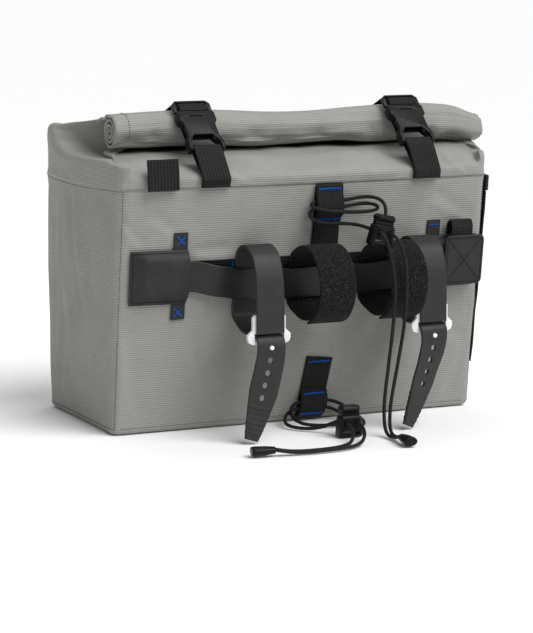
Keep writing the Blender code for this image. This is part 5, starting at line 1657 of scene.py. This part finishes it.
def hem_rays():
    """Rays round the left end of the roll."""
    centre = Vector((ROLL_LEFT + HEM_INSET, ROLL_Y, ROLL_Z))
    rays = []
    for step in range(HEM_RAYS):
        angle = math.radians(lerp(*HEM_ARC, step / (HEM_RAYS - 1)) - 180)
        out = Vector((0, -math.cos(angle), math.sin(angle)))
        rays.append((centre + out * RAY_START, -out, out))
    return rays


def make_seams():
    cloth = [BODY, COLLAR]
    seams = []
    for word, side in (("left", -1), ("right", 1)):
        seams.append(("seam_thread_front_" + word, corner_rays(side, -1), [BODY], CORNER_STITCH))
        seams.append(("seam_thread_back_" + word, corner_rays(side, 1), [BODY], CORNER_STITCH))
    seams += [
        ("roll_hem_thread", hem_rays(), [ROLL], HEM_STITCH),
        ("seam_thread_top_front", edge_rays(SEAM_HEIGHT + SEAM_LAP, 0.004, -1), cloth, EDGE_STITCH),
        ("seam_thread_base_front", edge_rays(BASE_SEAM_RISE, 0.006, -1), cloth, EDGE_STITCH),
        ("seam_thread_base_back", edge_rays(BASE_SEAM_RISE, 0.006, 1), cloth, EDGE_STITCH),
        ("seam_thread_side_left", side_rays(BASE_SEAM_RISE, -1), cloth, EDGE_STITCH),
        ("seam_thread_side_right", side_rays(BASE_SEAM_RISE, 1), cloth, EDGE_STITCH),
    ]
    for name, rays, trees, stitch in seams:
        sew(name, rays, trees, stitch, "thread_dark", "fabric")


# Patches

def pocket_ring(side, share, trees):
    """A pocket's section at a share of its width from the sewn end, from its lower to its upper edge."""
    band = BATTEN_WIDTH * 0.55
    end_rise = soft_step(share / POCKET_SLOPE)
    x = side * (POCKET_CENTRE + POCKET_WIDTH * (0.5 - share))
    raised_x = side * (POCKET_CENTRE + POCKET_WIDTH * (0.5 - max(share, POCKET_SLOPE)))
    cover = min(seat_y(raised_x, BELT_HEIGHT + band * step, POCKET_WIDTH * 0.1, trees)
                + PANEL_LEAN / SEAM_HEIGHT * band * step for step in (-1, -0.5, 0, 0.5, 1))
    standoff = max(seat_y(raised_x, BELT_HEIGHT, 0.002, [BODY]) - cover, 0.0)
    ring = []
    for row in range(POCKET_FINE_ROWS + 1):
        level = row / POCKET_FINE_ROWS * 2 - 1
        rise = standoff * end_rise * table_value(POCKET_ROWS, 1, level)
        crown = POCKET_CROWN * end_rise * max(1 - (level / 0.7) ** 2, 0.0)
        z = BELT_HEIGHT + POCKET_HEIGHT * level / 2
        y = seat_y(x, z, 0.002, [BODY]) - rise - SEAT - PATCH_THICK - crown
        ring.append(Vector((x, y + wave_at((x, 0.0, z), *POCKET_SOFT), z)))
    return ring if side < 0 else ring[::-1]


def make_pocket(name, side, tabs):
    """Patch sewn on three sides, with its mouth towards the middle of the bag, and its small tabs."""
    trees = [BODY, tree_of("belt_webbing"), tree_of("batten")]
    rings = [pocket_ring(side, column / POCKET_FINE_COLUMNS, trees)
             for column in range(POCKET_FINE_COLUMNS + 1)]
    pocket = loft(name + "_piece", rings, "patch", False)
    thicken(pocket, PATCH_THICK)
    bevel(pocket, 0.0003, 2, 50)
    settle(pocket, "patch", name)
    reach = POCKET_WIDTH / 2 - PATCH_STITCH_INSET
    low, high = (BELT_HEIGHT + edge * (POCKET_HEIGHT / 2 - PATCH_STITCH_INSET) for edge in (-1, 1))
    mouth = side * (POCKET_CENTRE - reach - 0.0015)
    outer = side * (POCKET_CENTRE + reach)
    sewn_line(name + "_thread", [(mouth, high), (outer, high), (outer, low), (mouth, low)], PATCH_STITCH,
              "thread_dark", surface_of(pocket), "patch")
    x = side * (POCKET_CENTRE - POCKET_WIDTH / 2 + TAB_WIDTH / 2)
    for word, direction in tabs:
        edge = BELT_HEIGHT + direction * POCKET_HEIGHT / 2
        path = [on_panel(x, edge + direction * share * TAB_LENGTH, SEAT + PATCH_THICK / 2, TAB_WIDTH / 2)
                for share in (-0.12, 0.15, 0.45, 0.75, 1.0)]
        tab = surface_of(ribbon(f"{name}_{word}_tab", path, (1, 0, 0), TAB_WIDTH, PATCH_THICK * 1.1, "patch",
                                detail=4, packed=False))
        if side < 0:
            z = edge + direction * TAB_LENGTH * 0.55
            cross_stitch(f"{name}_{word}_cross", x, z, TAB_WIDTH * 0.62, tab)
        else:
            z = edge + direction * TAB_LENGTH * 0.72
            bar_tack(f"{name}_{word}_tack", x, z, *TAB_TACK, tab)


def rounded_rectangle(width, height, radius, steps):
    points = []
    for cx, cy, start in ((1, -1, -90), (1, 1, 0), (-1, 1, 90), (-1, -1, 180)):
        for step in range(steps + 1):
            angle = math.radians(start + 90 * step / steps)
            points.append((cx * (width / 2 - radius) + radius * math.cos(angle),
                           cy * (height / 2 - radius) + radius * math.sin(angle)))
    return points


def flap_seat():
    """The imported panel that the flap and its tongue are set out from."""
    return seat_y(FLAP_X, FLAP_MIDDLE, FLAP_WIDTH / 2, [surface_of(NODES["bag_body"])])


def flap_out():
    """How far the flap's back stands out from the panel."""
    return batten_out(0.0) + BATTEN_THICK / 2 + SEAT + PATCH_THICK + FLAP_STANDOFF


def make_flap():
    """Stitched flap with a raised edge, hung over the right pocket from a folded webbing tongue."""
    place = Vector((FLAP_X, flap_seat() - flap_out() - FLAP_THICK / 2, FLAP_MIDDLE))
    lean = math.atan2(PANEL_LEAN, SEAM_HEIGHT)
    matrix = (Matrix.Translation(place) @ Matrix.Rotation(math.radians(2), 4, "Z")
              @ Matrix.Rotation(math.radians(90) + lean, 4, "X"))
    verts = []
    for facing in (1, -1):
        for inset, level in FLAP_EDGE:
            ring = rounded_rectangle(FLAP_WIDTH - 2 * inset, FLAP_HEIGHT - 2 * inset,
                                     max(FLAP_RADIUS - inset, 0.0006), 7)
            for x, y in ring:
                bow = math.cos(x / FLAP_WIDTH * math.pi) * wave_at((x, y, 0.0), *FLAP_SOFT)
                verts.append(matrix @ Vector((x, y, facing * FLAP_THICK / 2 * level + bow)))
    half = len(verts) // 2
    size = half // len(FLAP_EDGE)
    faces = band_faces(len(FLAP_EDGE), size) + [tuple(range(half - size, half))]
    faces += [face[::-1] for face in band_faces(len(FLAP_EDGE), size, base=half)]
    faces.append(tuple(reversed(range(2 * half - size, 2 * half))))
    faces += [(j, half + j, half + (j + 1) % size, (j + 1) % size) for j in range(size)]
    flap = face_outwards(build("right_flap_piece", verts, faces, "patch"))
    settle(flap, "patch", "right_flap")
    tree = surface_of(flap)
    left, right = (place.x + end * (FLAP_WIDTH / 2 - FLAP_STITCH_INSET) for end in (-1, 1))
    low, high = (place.z + end * (FLAP_HEIGHT / 2 - FLAP_STITCH_INSET) for end in (-1, 1))
    sewn_line("right_flap_thread", [(left, high), (right, high), (right, low), (left, low), (left, high)],
              PATCH_STITCH, "thread_dark", tree, "patch")
    for index, ends in enumerate(([(left, low), (right, high)], [(left, high), (right, low)])):
        sewn_line(f"right_flap_cross_{index}", ends, FLAP_CROSS_STITCH, "thread_dark", tree, "patch")


def flap_tongue():
    """Webbing folded over at the top, which carries the flap."""
    seat_out = SEAT + WEBBING_THICK
    flap_back = flap_out() - SEAT - WEBBING_THICK / 2
    middle = (flap_back + seat_out) / 2
    pocket_top = BELT_HEIGHT + POCKET_HEIGHT / 2
    top = FLAP_TOP + FLAP_WEBBING_RISE
    base_y = flap_seat()
    route = [Vector((FLAP_X - 0.002, base_y - out - PANEL_LEAN * (z - FLAP_MIDDLE) / SEAM_HEIGHT, z))
             for z, out in ((pocket_top + 0.0012, seat_out), (top - 0.004, seat_out),
                            (top - 0.0006, lerp(seat_out, middle, 0.6)), (top, middle),
                            (top - 0.0008, lerp(flap_back, middle, 0.5)), (top - 0.005, flap_back),
                            (pocket_top + 0.0004, flap_back))]
    ribbon("right_flap_webbing", smooth_path(route, 20), (1, 0, 0), FLAP_WEBBING_WIDTH, WEBBING_THICK,
           "webbing")


# Hard pieces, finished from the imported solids

def hard_piece(node, look, edge, body=BAG):
    """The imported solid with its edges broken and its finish."""
    mesh = NODES[node].data.copy()
    obj = scene_object(node + "_piece", mesh)
    sheet = bmesh.new()
    sheet.from_mesh(mesh)
    bmesh.ops.remove_doubles(sheet, verts=sheet.verts, dist=0.00002)
    bmesh.ops.dissolve_limit(sheet, angle_limit=math.radians(1.5), verts=sheet.verts, edges=sheet.edges)
    sheet.to_mesh(mesh)
    sheet.free()
    mesh.materials.clear()
    mesh.materials.append(LOOKS[look])
    bevel(obj, *edge, 32)
    obj.data.shade_smooth()
    obj.data.set_sharp_from_angle(angle=HARD_SHARP_ANGLE)
    return settle(obj, look, node, body=body)


# The cords

def cord_curve(name, route, count):
    """A round cord along its route, with the turns between the route's points rounded."""
    curve = bpy.data.curves.new(name + "_curve", "CURVE")
    curve.dimensions = "3D"
    curve.bevel_depth = CORD_DIAMETER / 2
    curve.bevel_resolution = 4
    curve.use_fill_caps = True
    curve.materials.append(LOOKS["cord"])
    path = smooth_path(route, count)
    for _ in range(CORD_SMOOTHING):
        path[1:-1] = [(a + 2 * b + c) / 4 for a, b, c in zip(path, path[1:], path[2:])]
    spline = curve.splines.new("POLY")
    spline.points.add(len(path) - 1)
    for point, place in zip(spline.points, path):
        point.co = (*place, 1.0)
    obj = settle(scene_object(name + "_piece", curve), "cord", name)


# Camera, floor and light

def make_camera():
    camera = bpy.data.cameras.new("camera")
    camera.lens = CAMERA_LENS
    camera.sensor_width = 36.0
    obj = scene_object("camera", camera)
    obj.location = CAMERA_AT
    obj.rotation_euler = (Vector(CAMERA_AIM) - Vector(CAMERA_AT)).to_track_quat("-Z", "Y").to_euler()
    bpy.context.scene.camera = obj


def make_stage():
    corners = [(x * FLOOR_REACH, y * FLOOR_REACH, FLOOR_LEVEL)
               for x, y in ((-1, -1), (1, -1), (1, 1), (-1, 1))]
    mesh = bpy.data.meshes.new("floor")
    mesh.from_pydata(corners, [], [(0, 1, 2, 3)])
    mesh.materials.append(LOOKS["floor"])
    floor = scene_object("floor", mesh)
    world = bpy.data.worlds.new("studio")
    bpy.context.scene.world = world
    world.use_nodes = True
    bpy.context.scene.view_settings.view_transform = "Standard"
    backdrop = world.node_tree.nodes["Background"]
    backdrop.inputs["Color"].default_value = (1.0, 1.0, 1.0, 1.0)
    backdrop.inputs["Strength"].default_value = WORLD_STRENGTH
    sun = bpy.data.lights.new("key", "SUN")
    sun.energy = SUN_STRENGTH
    sun.angle = SUN_SOFTNESS
    scene_object("key", sun).rotation_euler = Vector(SUN_FROM).to_track_quat("Z", "Y").to_euler()
    light = bpy.data.lights.new("rim", "AREA")
    light.shape = "RECTANGLE"
    light.size, light.size_y = RIM_SIZE
    light.energy = RIM_POWER
    rim = scene_object("rim", light)
    rim.location = RIM_AT
    rim.rotation_euler = (Vector(RIM_AIM) - Vector(RIM_AT)).to_track_quat("-Z", "Y").to_euler()


# Assembly

def tree_of(name):
    return surface_of(bpy.data.objects[name + "_piece"])


def make_loops():
    for index, (x, drift, twist) in enumerate(zip(RUBBER_X, TAIL_DRIFT, TAIL_TWIST), 1):
        rubber_strap(f"rubber_strap_{index}", x, drift, twist)
        hard_piece(f"strap_buckle_{index}", "white", FRAME_EDGE)
    for index, x in enumerate(HOOK_X, 1):
        make_hook_loop(f"hook_loop_{index}", x)


def make_closures():
    for index, x in enumerate(CLOSURE_X, 1):
        matrix = buckle_frame(x)
        hard_piece(f"buckle_female_{index}", "plastic", BUCKLE_EDGE)
        hard_piece(f"buckle_male_{index}", "plastic", PRONG_EDGE)
        make_lower_tab(f"buckle_tab_{index}", x, matrix)
        make_closure_strap(f"closure_strap_{index}", x, matrix)


def make_cords():
    """Each cord goes with its lock and its end. The lock's button rides on its own body."""
    for word in ("upper", "lower"):
        body = hard_piece(f"{word}_lock_body", "plastic", BUCKLE_EDGE)
        button = hard_piece(f"{word}_lock_button", "plastic", BUTTON_EDGE, f"{word}_button")
        end = hard_piece(f"{word}_cord_end", "plastic", BUCKLE_EDGE)
    cord_curve("upper_cord", UPPER_CORD_ROUTE, UPPER_CORD_POINTS)
    cord_curve("lower_cord", LOWER_CORD_ROUTE, LOWER_CORD_POINTS)


make_camera()
make_looks()
make_cords()
make_stage()
BODY, COLLAR, ROLL = (surface_of(make()) for make in (body_cloth, collar_cloth, roll_cloth))
make_belt()
make_batten()
make_centre_webbing()
make_seam_tab()
make_side_strip()
make_pocket("left_pocket", -1, (("upper", 1), ("lower", -1)))
make_pocket("right_pocket", 1, (("upper", 1),))
make_flap()
flap_tongue()
make_loops()
make_closures()
make_seams()
